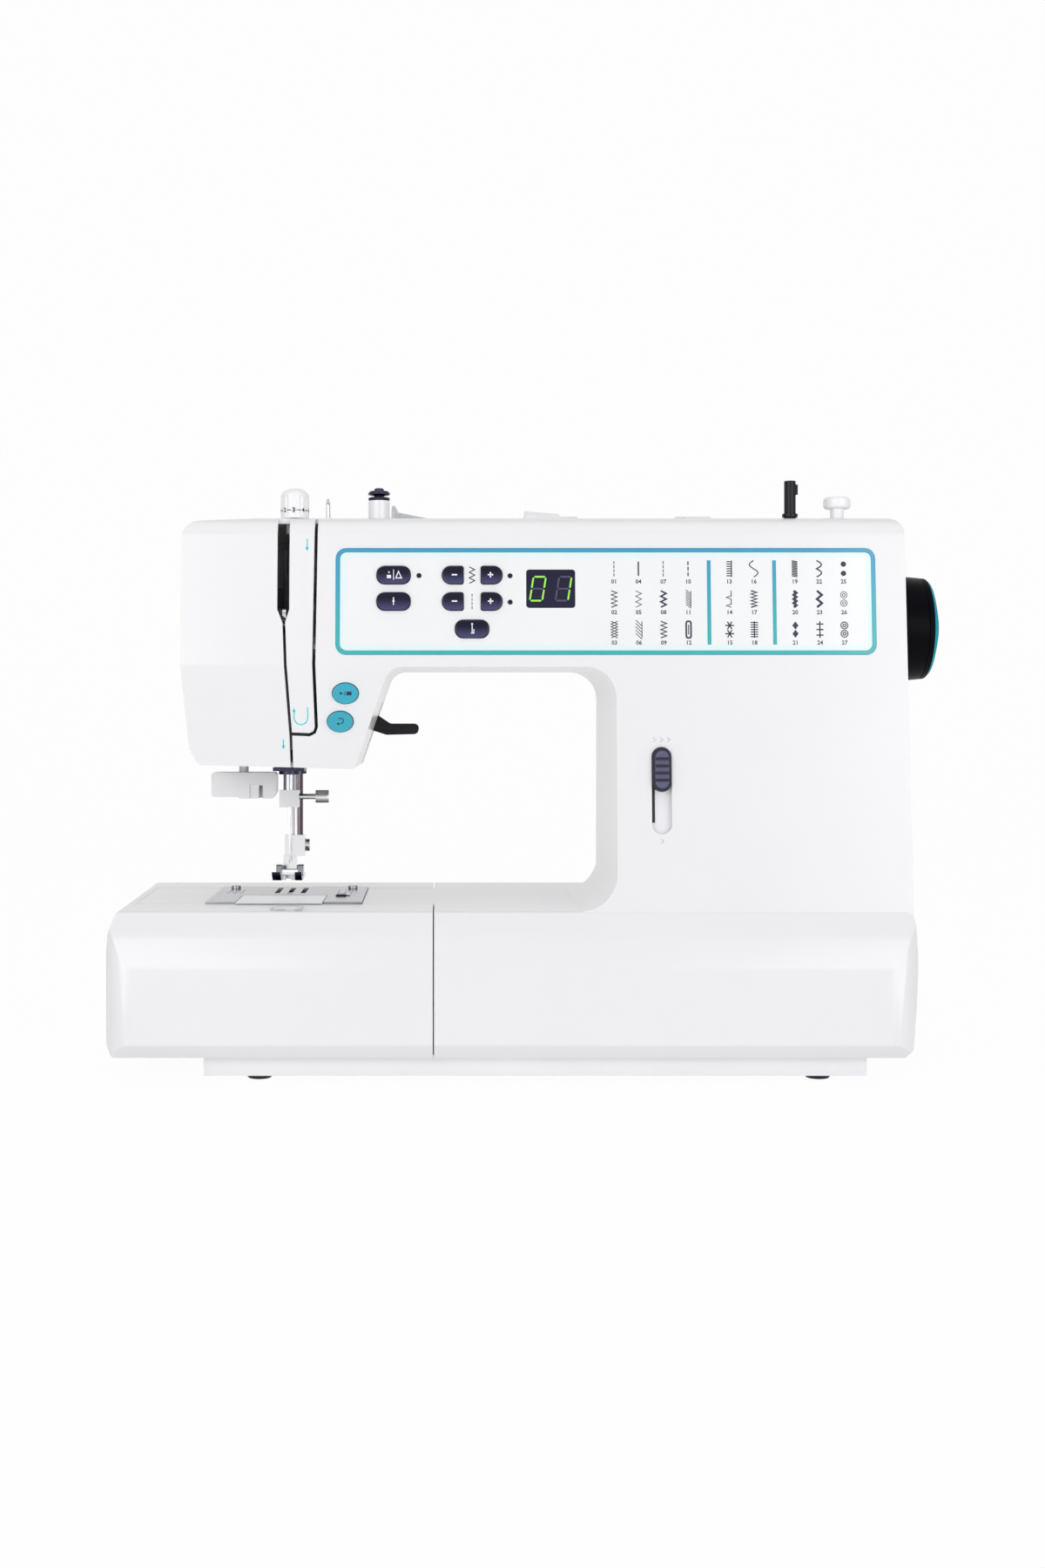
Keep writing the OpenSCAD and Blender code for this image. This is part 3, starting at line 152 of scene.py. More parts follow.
class Tree:
    """The nodes of one material."""

    def __init__(self, name: str) -> None:
        """Makes an empty material with an output and a principled shader.

        Args:
            name: the material's name.
        """
        self.material = bpy.data.materials.new(name)
        self.material.use_nodes = True
        self.nodes = self.material.node_tree.nodes
        self.links = self.material.node_tree.links
        self.nodes.clear()
        self.output = self.nodes.new("ShaderNodeOutputMaterial")
        self.shader = self.nodes.new("ShaderNodeBsdfPrincipled")
        self.links.new(self.shader.outputs[0], self.output.inputs["Surface"])

    def add(
        self, kind: str, settings: dict[str, Any], inputs: dict[Any, Any], output: Any = 0
    ) -> Link:
        """Adds one node.

        Args:
            kind: the node's type.
            settings: properties, set first.
            inputs: socket name or number to a value or Link.
            output: the output socket that is returned.

        Returns:
            The chosen output as a Link.
        """
        node = self.nodes.new(kind)
        for key, value in settings.items():
            setattr(node, key, value)
        for key, value in inputs.items():
            self.feed(node, key, value)
        return Link(self, node.outputs[output])

    def feed(self, node: Any, key: Any, value: Any) -> None:
        """Sets or links one input socket of a node."""
        if isinstance(value, Link):
            self.links.new(value.socket, node.inputs[key])
        else:
            node.inputs[key].default_value = value

    def place(self) -> Link:
        """Object coordinates in metres."""
        return self.add("ShaderNodeTexCoord", {}, {}, "Object")

    def axes(self) -> tuple[Link, Link, Link]:
        """The three object coordinates in millimetres."""
        split = self.nodes.new("ShaderNodeSeparateXYZ")
        self.links.new(self.place().socket, split.inputs[0])
        return tuple(Link(self, split.outputs[i]) * (1 / MM) for i in range(3))

    def noise(self, size: float, detail: float = 2.0, stretch: Sequence[float] = (1, 1, 1)) -> Link:
        """Noise from 0 to 1 whose grains are about size metres wide."""
        scale = tuple(s / size for s in stretch)
        vector = self.add("ShaderNodeMapping", {}, {"Vector": self.place(), "Scale": scale})
        inputs = {"Vector": vector, "Scale": 1.0, "Detail": detail}
        return self.add("ShaderNodeTexNoise", {}, inputs)

    def mix(self, share: Any, first: Link | RGB, second: Link | RGB) -> Link:
        """Mixes two colours by share; a colour is a Link or three numbers from 0 to 255."""
        first, second = (c if isinstance(c, Link) else linear(*c) for c in (first, second))
        inputs = {0: share, 6: first, 7: second}
        return self.add("ShaderNodeMix", {"data_type": "RGBA"}, inputs, 2)

    def bump(self, height: Link, strength: float, distance: float) -> None:
        """Feeds the shader's normal with a bump of the height."""
        inputs = {"Height": height, "Strength": strength, "Distance": distance}
        self.set("Normal", self.add("ShaderNodeBump", {}, inputs, "Normal"))

    def gloss(self, base: float, size: float, detail: float, swing: float) -> None:
        """Roughness that drifts by up to half of swing to both sides of base."""
        self.set("Roughness", base + (self.noise(size, detail) - 0.5) * swing)

    def set(self, key: str, value: Any) -> None:
        """Sets or links one input of the principled shader."""
        self.feed(self.shader, key, value)


def linear(red: int, green: int, blue: int) -> tuple[float, float, float, float]:
    """A screen colour from 0 to 255 as the linear colour that a socket takes."""
    parts = [c / 255 for c in (red, green, blue)]
    return (*[p / 12.92 if p <= 0.04045 else ((p + 0.055) / 1.055) ** 2.4 for p in parts], 1.0)


# ---- finishes
@dataclass(frozen=True)
class Finish:
    """What every finish has: a name and a way to make its material."""

    name: str

    def paint(self, tree: Tree) -> None:
        """Sets up the shader."""
        raise NotImplementedError

    def material(self) -> bpy.types.Material:
        """The material, made once.

        Returns:
            The material with this finish's name.
        """
        found = bpy.data.materials.get(self.name)
        if found is not None:
            return found
        tree = Tree(self.name)
        self.paint(tree)
        return tree.material


@dataclass(frozen=True)
class Moulding(Finish):
    """Injection-moulded plastic: faint orange peel, soft unevenness of gloss and tone."""

    colour: RGB = (240, 240, 242)
    shade: RGB = (239, 239, 241)
    roughness: float = 0.3
    coat: float = 0.4
    peel: float = 0.0015
    grain: float = 0.0
    specular: float = 0.5

    def tone(self, tree: Tree) -> Link:
        """A broad cloud between the two tones."""
        cloud = tree.noise(0.055, 1.0).smooth(0.2, 0.8)
        return tree.mix(cloud, self.colour, self.shade)

    def paint(self, tree: Tree) -> None:
        """Tone, gloss and relief of the plastic."""
        tree.set("Base Color", self.tone(tree))
        tree.gloss(self.roughness, 0.012, 2.0, 0.04)
        tree.set("Coat Weight", self.coat)
        tree.set("Coat Roughness", 0.16)
        tree.set("IOR", 1.49)
        tree.set("Specular IOR Level", self.specular)
        relief = tree.noise(0.0032, 1.0)
        if self.grain > 0:
            relief = relief + tree.noise(0.00045, 2.0) * self.grain
        tree.bump(relief, self.peel, 0.0001)


@dataclass(frozen=True)
class TrayShell(Moulding):
    """The tray's plastic, with painted shade in the two ends of its finger recess."""

    ends: Pair = (-125.4, -116.4)
    reach: float = 2.8
    back: float = -54.5
    lip: float = -72.5
    low: float = 80.6
    # Colour of the painted shade in the ends of the finger recess.
    worn: RGB = (192, 192, 196)

    def tone(self, tree: Tree) -> Link:
        """Painted shade: distance to the nearer end of the recess, in x, before its back edge and
        high up.
        """
        x, y, z = tree.axes()
        away = (x - self.ends[0]).absolute().at_most((x - self.ends[1]).absolute())
        near = 1.0 - away.smooth(self.reach * 0.6, self.reach)
        inside = (1.0 - y.above(self.back)) * z.above(self.low) * y.above(self.lip)
        # The recess's shade is painted into the colour, darkest near its two ends.
        return tree.mix(near * inside, super().tone(tree), self.worn)


@dataclass(frozen=True)
class PanelSkin(Finish):
    """The panel's clear printed foil, with a breath of the line's colour along its edge."""

    middle: Pair = (32.15, 230.6)
    half: Pair = (128.3, 23.9)
    reach: float = 4.5
    pale: RGB = (246, 247, 248)
    shade: RGB = (242, 243, 245)
    tint: RGB = (222, 248, 248)
    tinting: float = 0.8

    def paint(self, tree: Tree) -> None:
        """Distance to the panel's edge, in x and z, drives a tint that fades inwards."""
        x, _, z = tree.axes()
        to_side = self.half[0] - (x - self.middle[0]).absolute()
        to_edge = self.half[1] - (z - self.middle[1]).absolute()
        near = 1.0 - to_side.at_most(to_edge).smooth(0.0, self.reach)
        plain = tree.mix(tree.noise(0.04, 2.0), self.pale, self.shade)
        tree.set("Base Color", tree.mix(near * self.tinting, plain, self.tint))
        tree.gloss(0.24, 0.009, 3.0, 0.08)
        tree.set("Coat Weight", 0.3)
        tree.set("Coat Roughness", 0.08)
        tree.bump(tree.noise(0.0006, 2.0), 0.03, 0.0002)


@dataclass(frozen=True)
class Accent(Finish):
    """Coloured trim that turns from turquoise below to blue above."""

    low: RGB = (56, 180, 186)
    high: RGB = (54, 158, 198)
    span: Pair = (206.0, 257.0)
    roughness: float = 0.25
    coat: float = 0.4
    specular: float = 0.5

    def tone(self, tree: Tree) -> Link:
        """A blend along the height with a slow drift along the arm."""
        _, _, z = tree.axes()
        drift = (tree.noise(0.09, 1.0) - 0.5) * 0.5
        share = (z - self.span[0]) / (self.span[1] - self.span[0]) + drift
        return tree.mix(share.smooth(0.0, 1.0), self.low, self.high)

    def paint(self, tree: Tree) -> None:
        """Tone, a clear coat and a faint relief."""
        tree.set("Base Color", self.tone(tree))
        tree.gloss(self.roughness, 0.006, 3.0, 0.08)
        tree.set("Coat Weight", self.coat)
        tree.set("Coat Roughness", 0.1)
        tree.set("Specular IOR Level", self.specular)
        tree.bump(tree.noise(0.0012, 2.0), 0.04, 0.0002)


@dataclass(frozen=True)
class WheelCap(Accent):
    """The wheel's coloured cap, whose skirt is black up to a narrow rim."""

    rim_x: float = 203.4
    skirt: RGB = (7, 6, 13)

    def tone(self, tree: Tree) -> Link:
        """Colour outside the rim's plane, black inside it."""
        x, _, _ = tree.axes()
        return tree.mix(x.above(self.rim_x), self.skirt, super().tone(tree))


@dataclass(frozen=True)
class KeyCap(Finish):
    """Dark key, lighter towards its lower edge as if lit from within."""

    half_row: float = 6.5
    blend: Pair = (-2.0, 4.6)
    dark: RGB = (16, 14, 42)
    light: RGB = (72, 72, 114)

    def paint(self, tree: Tree) -> None:
        """Height below the middle of the nearest row gives the blend."""
        _, _, z = tree.axes()
        down = KEY_ROWS[0] - z
        for row in KEY_ROWS[1:]:
            inside = 1.0 - (z - (row + self.half_row)).above(0.0)
            down = down * (1.0 - inside) + (row - z) * inside
        tree.set("Base Color", tree.mix(down.smooth(*self.blend), self.dark, self.light))
        tree.set("Specular IOR Level", 0.25)
        tree.gloss(0.2, 0.004, 3.0, 0.08)
        tree.set("Coat Weight", 0.2)
        tree.set("Coat Roughness", 0.06)
        tree.bump(tree.noise(0.0014, 1.0), 0.04, 0.0002)


@dataclass(frozen=True)
class SpeedKnob(Finish):
    """Navy knob whose hidden plate shows white in the slot, with painted shade of the track slot at
    its left.
    """

    track_x: float = 55.4
    track_z: float = 124.0
    plate_out: float = -2.6
    grip_out: Pair = (1.7, 2.2)
    rib_out: float = 2.6
    hidden: RGB = (240, 240, 243)
    # Colour of the painted shade in the slot where the knob's stem runs.
    groove: RGB = (34, 33, 56)
    knob: RGB = (30, 28, 54)
    grip: RGB = (92, 92, 122)

    def paint(self, tree: Tree) -> None:
        """Distance out from the leaning face tells plate, collar, grip and ribs apart."""
        x, y, z = tree.axes()
        out = (FRONT_Y + (z - FRONT_Z) * math.tan(math.radians(FRONT_LEAN))) - y
        # Painted shade of the slot: dark left of track_x and above track_z, on the plate.
        track = (1.0 - x.above(self.track_x)) * z.above(self.track_z)
        plate = tree.mix(track, self.hidden, self.groove)
        top = tree.mix(out.smooth(*self.grip_out), self.knob, self.grip)
        top = tree.mix(out.above(self.rib_out), top, self.knob)
        tree.set("Base Color", tree.mix(out.above(self.plate_out), plate, top))
        tree.gloss(0.24, 0.004, 3.0, 0.08)
        tree.set("Coat Weight", 0.4)
        tree.bump(tree.noise(0.0014, 1.0), 0.02, 0.0001)


@dataclass(frozen=True)
class Metal(Finish):
    """Metal with fine lines of turning or brushing along one axis."""

    colour: RGB = (205, 206, 210)
    roughness: float = 0.24
    stretch: Triple = (1.0, 1.0, 0.05)
    scratch: float = 0.08

    def tone(self, tree: Tree, lines: Link) -> Link:
        """The lines darken the metal a little."""
        dark = tuple(int(c * 0.86) for c in self.colour)
        return tree.mix(lines.smooth(0.3, 0.7), dark, self.colour)

    def paint(self, tree: Tree) -> None:
        """Stretched noise moves tone, gloss and relief together."""
        lines = tree.noise(0.0009, 4.0, self.stretch)
        tree.set("Base Color", self.tone(tree, lines))
        tree.set("Metallic", 1.0)
        tree.set("Roughness", self.roughness + (lines - 0.5) * 0.18)
        tree.bump(lines, self.scratch, 0.0002)


@dataclass(frozen=True)
class BarSteel(Metal):
    """The presser bar: bright on the needle bar's side, with a painted dark reflection on the other
    side.
    """

    edge: float = -122.7
    # Colour of the painted dark reflection on the bar's far side.
    brown: RGB = (104, 92, 96)

    def tone(self, tree: Tree, lines: Link) -> Link:
        """Place along x tells the side with the painted dark reflection."""
        x, _, _ = tree.axes()
        return tree.mix(x.above(self.edge), super().tone(tree, lines), self.brown)


@dataclass(frozen=True)
class FootSteel(Metal):
    """The presser foot: dark toes, bright between them and above."""

    middle: float = -126.5
    half: float = 3.4
    top: float = 97.0
    front: float = 4.0
    # Colour of the dark toes.
    blued: RGB = (52, 51, 84)

    def tone(self, tree: Tree, lines: Link) -> Link:
        """Distance from the foot's middle, depth and height tell the toes apart."""
        x, y, z = tree.axes()
        toes = (x - self.middle).absolute().above(self.half) * (1.0 - z.above(self.top))
        toes = toes * (1.0 - y.above(self.front))
        return tree.mix(toes, super().tone(tree, lines), self.blued)


@dataclass(frozen=True)
class Cast(Finish):
    """Sand- or die-cast metal, or moulded rubber: matt with a pebbled skin."""

    colour: RGB = (140, 142, 146)
    roughness: float = 0.6
    pebble: float = 0.0012
    depth: float = 0.25
    metallic: float = 0.0

    def paint(self, tree: Tree) -> None:
        """Pebbles give relief, and a broad cloud gives tone."""
        cloud = tree.noise(0.02, 3.0)
        dark = tuple(int(c * 0.8) for c in self.colour)
        tree.set("Base Color", tree.mix(cloud, dark, self.colour))
        tree.set("Metallic", self.metallic)
        tree.set("Roughness", self.roughness + (cloud - 0.5) * 0.15)
        tree.bump(tree.noise(self.pebble, 3.0), self.depth, 0.0004)


@dataclass(frozen=True)
class Clear(Finish):
    """Clear or smoky plastic."""

    colour: RGB = (232, 240, 243)
    roughness: float = 0.05
    clearness: float = 0.9
    shade: RGB = (225, 234, 238)

    def paint(self, tree: Tree) -> None:
        """Transmission with fine moulding flow in the relief."""
        tree.set("Base Color", tree.mix(tree.noise(0.02, 2.0), self.colour, self.shade))
        tree.set("Transmission Weight", self.clearness)
        tree.set("IOR", 1.35)
        tree.set("Roughness", self.roughness + tree.noise(0.01, 2.0) * 0.05)
        tree.bump(tree.noise(0.006, 2.0), 0.05, 0.0004)


@dataclass(frozen=True)
class Ink(Finish):
    """Printed ink: even colour, slightly broken at its edges by the screen of the print."""

    colour: RGB = (74, 72, 92)
    roughness: float = 0.45

    def paint(self, tree: Tree) -> None:
        """Fine noise lightens the ink here and there."""
        pale = tuple(min(255, int(c * 1.18) + 8) for c in self.colour)
        screen = tree.noise(0.0006, 3.0).smooth(0.4, 0.8)
        tree.set("Base Color", tree.mix(screen, self.colour, pale))
        tree.gloss(self.roughness, 0.002, 2.0, 0.1)
        tree.bump(tree.noise(0.0005, 2.0), 0.05, 0.0001)


@dataclass(frozen=True)
class Glow(Finish):
    """A lit segment of the display."""

    colour: RGB = (138, 206, 74)
    strength: float = 0.7

    def paint(self, tree: Tree) -> None:
        """Emission that dims a little from place to place."""
        dim = tuple(int(c * 0.85) for c in self.colour)
        light = tree.mix(tree.noise(0.003, 1.0), self.colour, dim)
        tree.set("Base Color", light)
        tree.set("Emission Color", light)
        tree.set("Emission Strength", self.strength)
        tree.set("Roughness", 0.3)


@dataclass(frozen=True)
class Window(Finish):
    """The display's dark window and the small lamps' lenses, a little darker towards the top."""

    span: Pair = (228.0, 248.0)
    low: RGB = (34, 31, 60)
    high: RGB = (30, 27, 54)

    def paint(self, tree: Tree) -> None:
        """Height blends two near-black blues under a thin clear coat."""
        _, _, z = tree.axes()
        tree.set("Base Color", tree.mix(z.smooth(*self.span), self.low, self.high))
        tree.gloss(0.3, 0.004, 2.0, 0.1)
        tree.set("Specular IOR Level", 0.25)
        tree.set("Coat Weight", 0.05)
        tree.bump(tree.noise(0.0008, 2.0), 0.03, 0.0001)


@dataclass(frozen=True)
class Board(Finish):
    """Circuit board with tracks under its green lacquer."""

    lacquer: RGB = (18, 84, 52)
    track: RGB = (44, 128, 82)

    def paint(self, tree: Tree) -> None:
        """Bands of noise stand for the copper tracks."""
        tracks = tree.noise(0.004, 0.0, (1, 1, 3)).smooth(0.48, 0.54)
        tree.set("Base Color", tree.mix(tracks, self.lacquer, self.track))
        tree.set("Roughness", 0.35)
        tree.bump(tracks, 0.2, 0.0001)


WHITE = Moulding("white moulding")
TRAY_WHITE = TrayShell("tray moulding")
TRIM = Moulding("white trim", (247, 247, 248), (245, 245, 247), 0.32, 0.2)
TEAL_TRIM = Accent("turquoise line")
TEAL_KEY = Accent("turquoise key", (34, 166, 190), (36, 172, 196), (160.0, 200.0), 0.3)
WHEEL_CAP = WheelCap(
    "turquoise cap", (36, 160, 168), (40, 150, 178), (190.0, 250.0), 0.5, 0.0, 0.06
)
BLACK = Moulding("black moulding", (19, 18, 25), (15, 14, 20), 0.34, 0.05, 0.04, 0.3, 0.3)
WHEEL = Moulding("wheel moulding", (7, 6, 13), (5, 4, 10), 0.4, 0.0, 0.01, 0.0, 0.06)
RUBBER = Cast("foot rubber", (24, 24, 26), 0.75, 0.0007, 0.3)
BASE = Moulding("base moulding", (248, 248, 249), (245, 245, 247), 0.45, 0.1)
STEEL = Metal("ground steel")
TURNED = Metal("turned steel", (198, 199, 204), 0.2, (0.05, 1.0, 1.0))
CHROME = Metal("chrome", (222, 223, 228), 0.1, (1.0, 1.0, 0.1), 0.03)
PLATE_STEEL = Metal("brushed plate", (180, 181, 188), 0.26, (0.04, 1.0, 1.0), 0.06)
BUSH = Metal("dark bush", (74, 74, 92), 0.3, (1.0, 1.0, 0.2), 0.06)
FOOT_STEEL = FootSteel("foot with dark toes", (222, 223, 228), 0.16, (1.0, 1.0, 0.1), 0.03)
# The bar's darker side is a painted reflection.
BAR_STEEL = BarSteel("bar with painted reflection", (214, 214, 220), 0.18, (1.0, 1.0, 0.05), 0.04)
BELT = Cast("belt rubber", (30, 30, 32), 0.7, 0.0006, 0.3)
MOTOR = Cast("motor enamel", (64, 66, 72), 0.45, 0.001, 0.12)
CASTING = Cast("die casting", (150, 152, 156), 0.48, 0.0011, 0.25, 0.6)
CLEAR_COVER = Clear("clear cover", (251, 252, 253), 0.1, 0.12)
SPOOL_CLEAR = Clear("milky cap", (236, 238, 241), 0.16, 0.35)
BOBBIN_CLEAR = Clear("bobbin plastic", (222, 228, 236), 0.1, 0.6)
LENS = Clear("lamp lens", (250, 248, 238), 0.2, 0.5)
INK = Ink("chart ink", (50, 48, 68))
PALE_INK = Ink("relief print", (196, 197, 203), 0.4)
DARK_INK = Ink("icon ink", (28, 30, 52))
WHITE_INK = Ink("key print", (236, 238, 244))
TEAL_INK = Ink("arrow print", (52, 196, 212))
DARK_KEY = KeyCap("dark key")
LIT = Glow("lit segment")
UNLIT = Ink("dark segment", (66, 66, 92))


# ---- meshes
def linked(name: str, data: Any) -> bpy.types.Object:
    """A new object for the data, linked to the scene."""
    made = bpy.data.objects.new(name, data)
    bpy.context.scene.collection.objects.link(made)
    return made


def circle(u: float, v: float, radius: float, sides: int) -> Points:
    """Points (u + radius cos t, v + radius sin t) at even steps of t, once round."""
    turn = np.linspace(0, 2 * np.pi, sides, endpoint=False)
    return np.stack([u + radius * np.cos(turn), v + radius * np.sin(turn)], axis=1)


class Buffer:
    """Collects points and faces that become one mesh."""

    def __init__(self) -> None:
        """Starts empty."""
        self.points: list[Points] = []
        self.faces: list[list[int]] = []
        self.count = 0

    def add(self, points: Points, faces: Iterable[Sequence[int]]) -> None:
        """Adds points, and faces that index them from 0."""
        start = self.count
        self.points.append(np.asarray(points, float))
        self.faces.extend([[int(i) + start for i in face] for face in faces])
        self.count += len(points)

    def grid(self, points: Points, wrap: bool = True) -> None:
        """Adds a surface given as rows of points.

        Args:
            points: array of rows, columns and three coordinates; a row is a closed ring if wrap.
            wrap: joins the last column to the first and closes the first and last row.
        """
        rows, cols = points.shape[:2]
        index = np.arange(rows * cols).reshape(rows, cols)
        after = np.roll(index, -1, axis=1) if wrap else index[:, 1:]
        here = index if wrap else index[:, :-1]
        quads = np.stack([here[:-1], after[:-1], after[1:], here[1:]], axis=-1)
        faces = quads.reshape(-1, 4).tolist()
        if wrap:
            faces += [index[0, ::-1].tolist(), index[-1].tolist()]
        self.add(points.reshape(-1, 3), faces)

    def mesh(self, name: str) -> bpy.types.Mesh:
        """The mesh in metres."""
        mesh = bpy.data.meshes.new(name)
        mesh.from_pydata((np.concatenate(self.points) * MM).tolist(), [], self.faces)
        return mesh

    def object(self, name: str, finish: Finish) -> bpy.types.Object:
        """Makes the object, with its normals turned outwards.

        Args:
            name: the piece's name.
            finish: its finish.

        Returns:
            The new object, linked to the scene.
        """
        mesh = self.mesh(name)
        work = bmesh.new()
        work.from_mesh(mesh)
        bmesh.ops.recalc_face_normals(work, faces=work.faces)
        work.to_mesh(mesh)
        work.free()
        mesh.materials.append(finish.material())
        return linked(name, mesh)


Mapping = Callable[[Points, Points, Points], Points]


@dataclass(frozen=True)
class Face:
    """A leaning flat face of the housing, on which prints and icons lie."""

    y: float
    z: float
    slope: float

    def __call__(self, u: Points, v: Points, out: Points) -> Points:
        """Points at x = u and height v, out millimetres in front of the face.

        A point is (u, y + (v - z) tan slope - out cos slope, v + out sin slope).

        Args:
            u: places along the arm.
            v: heights.
            out: distances in front.

        Returns:
            The points, stacked on the last axis.
        """
        lean = math.radians(self.slope)
        y = self.y + (v - self.z) * math.tan(lean) - out * math.cos(lean)
        return np.stack([u + 0 * v, y, v + out * math.sin(lean)], axis=-1)


@dataclass(frozen=True)
class Level:
    """A level face, on which marks lie; u runs along X and v along Y."""

    z: float

    def __call__(self, u: Points, v: Points, out: Points) -> Points:
        """Points at (u, v, z + out)."""
        return np.stack([u + 0 * v, v + 0 * u, self.z + out + 0 * u], axis=-1)


@dataclass(frozen=True)
class Drum:
    """The side of a round knob that stands up; u runs round it and v up it."""

    x: float
    y: float
    radius: float

    def __call__(self, u: Points, v: Points, out: Points) -> Points:
        """Points at angle u / radius from the front, at height v, out from the side."""
        turn = u / self.radius
        far = self.radius + out
        x, y = self.x + far * np.sin(turn), self.y - far * np.cos(turn)
        return np.stack([x, y, v + 0 * u], axis=-1)


@dataclass
class Print:
    """Marks with a little thickness that lie on a surface."""

    surface: Mapping
    low: float = -0.05
    high: float = 0.06
    type_scale: float = 1.38
    type_weight: float = 0.03
    buffer: Buffer = field(default_factory=Buffer)

    def stroke(self, path: Outline, width: float, close: bool = False) -> None:
        """A line of even width: a flat rectangular profile carried along the path.

        At each point the profile stands across the mean of the two directions that meet there,
        widened by one over the cosine of the turn, at most 2.2 times.

        Args:
            path: points (u, v).
            width: the line's width.
            close: joins the end to the start.
        """
        path = np.asarray(path, float)
        if close:
            path = np.concatenate([path, path[:1]])
        step = np.diff(path, axis=0)
        step /= np.maximum(np.linalg.norm(step, axis=1, keepdims=True), 1e-9)
        before = np.concatenate([step[-1:] if close else step[:1], step])
        after = np.concatenate([step, step[:1] if close else step[-1:]])
        mean = before + after
        mean /= np.maximum(np.linalg.norm(mean, axis=1, keepdims=True), 1e-6)
        across = np.stack([-mean[:, 1], mean[:, 0]], axis=1)
        stretch = 1 / np.maximum(np.abs((mean * before).sum(1)), 0.45)
        side = across * (width / 2 * stretch)[:, None]
        edge = np.stack([path + side, path - side, path - side, path + side], axis=1)
        out = np.tile(np.array([self.low, self.low, self.high, self.high]), (len(path), 1))
        self.buffer.grid(self.surface(edge[..., 0], edge[..., 1], out))

    def patch(self, outline: Outline) -> None:
        """A filled shape: its outline at two levels, closed by a face on each."""
        outline = np.asarray(outline, float)
        rings = np.stack([outline, outline])
        out = np.stack([np.full(len(outline), self.low), np.full(len(outline), self.high)])
        self.buffer.grid(self.surface(rings[..., 0], rings[..., 1], out))

    def disc(self, u: float, v: float, radius: float) -> None:
        """A filled circle."""
        self.patch(circle(u, v, radius, 20))

    def words(self, text: str, u: float, v: float, size: float) -> None:
        """Letters or numbers centred on a point.

        Args:
            text: what is written.
            u: middle of the text.
            v: middle of the text.
            size: height of a digit.
        """
        curve = bpy.data.curves.new("letters", "FONT")
        curve.body = text
        curve.align_x = "CENTER"
        curve.align_y = "CENTER"
        curve.size = size * self.type_scale
        curve.resolution_u = 2
        curve.extrude = 0.5
        curve.offset = self.type_weight * size
        carrier = linked("letters", curve)
        mesh = bpy.data.meshes.new_from_object(carrier)
        flat = np.array([corner.co for corner in mesh.vertices], float).reshape(-1, 3)
        faces = [list(polygon.vertices) for polygon in mesh.polygons]
        out = np.where(flat[:, 2] > 0, self.high, self.low)
        self.buffer.add(self.surface(u + flat[:, 0], v + flat[:, 1], out), faces)
        bpy.data.objects.remove(carrier)
        bpy.data.curves.remove(curve)
        bpy.data.meshes.remove(mesh)


def dressed(name: str, node: str, finish: Finish, bevel: float) -> None:
    """A copy of a solid with merged corners, softened edges and even shading.

    Args:
        name: the piece's name.
        node: the solid that it stands for.
        finish: its finish.
        bevel: width of the softened edges in millimetres.
    """
    source = frame["nodes"][node]
    mesh = source.data.copy()
    mesh.name = name
    work = bmesh.new()
    work.from_mesh(mesh)
    bmesh.ops.remove_doubles(work, verts=work.verts, dist=2e-6)
    flat = math.radians(0.7)
    bmesh.ops.dissolve_limit(
        work, angle_limit=flat, use_dissolve_boundaries=False, verts=work.verts, edges=work.edges
    )
    work.to_mesh(mesh)
    work.free()
    piece = linked(name, mesh)
    mesh.materials.clear()
    mesh.materials.append(finish.material())
    if "custom_normal" in mesh.attributes:
        mesh.attributes.remove(mesh.attributes["custom_normal"])
    mesh.shade_smooth()
    mesh.set_sharp_from_angle(angle=math.radians(SOFTEN_ABOVE))
    if bevel > 0:
        soften = piece.modifiers.new("softened edges", "BEVEL")
        soften.width = bevel * MM
        soften.segments = 2
        soften.limit_method = "ANGLE"
        soften.angle_limit = math.radians(SOFTEN_ABOVE)
        soften.harden_normals = True
        soften.use_clamp_overlap = True
    even = piece.modifiers.new("even shading", "WEIGHTED_NORMAL")
    even.keep_sharp = True
    even.weight = 80
    body = source["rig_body"]
    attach(piece, body)
    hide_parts(node)


# ---- stitches
class Stitch(Enum):
    """Patterns of the stitch chart."""

    DASHES = "dashes"
    LINE = "line"
    ZIGZAG = "zigzag"
    DOUBLE = "double zigzag"
    HATCH = "slanted hatch"
    COMB = "comb"
    BLIND = "blind hem"
    BOX = "buttonhole"
    WAVE = "wave"
    STARS = "stars"
    SATIN = "satin"
    SCALLOP = "scallops"
    LEAVES = "leaves"
    DOTS = "dots"
    RINGS = "rings"
    LADDER = "ladder"


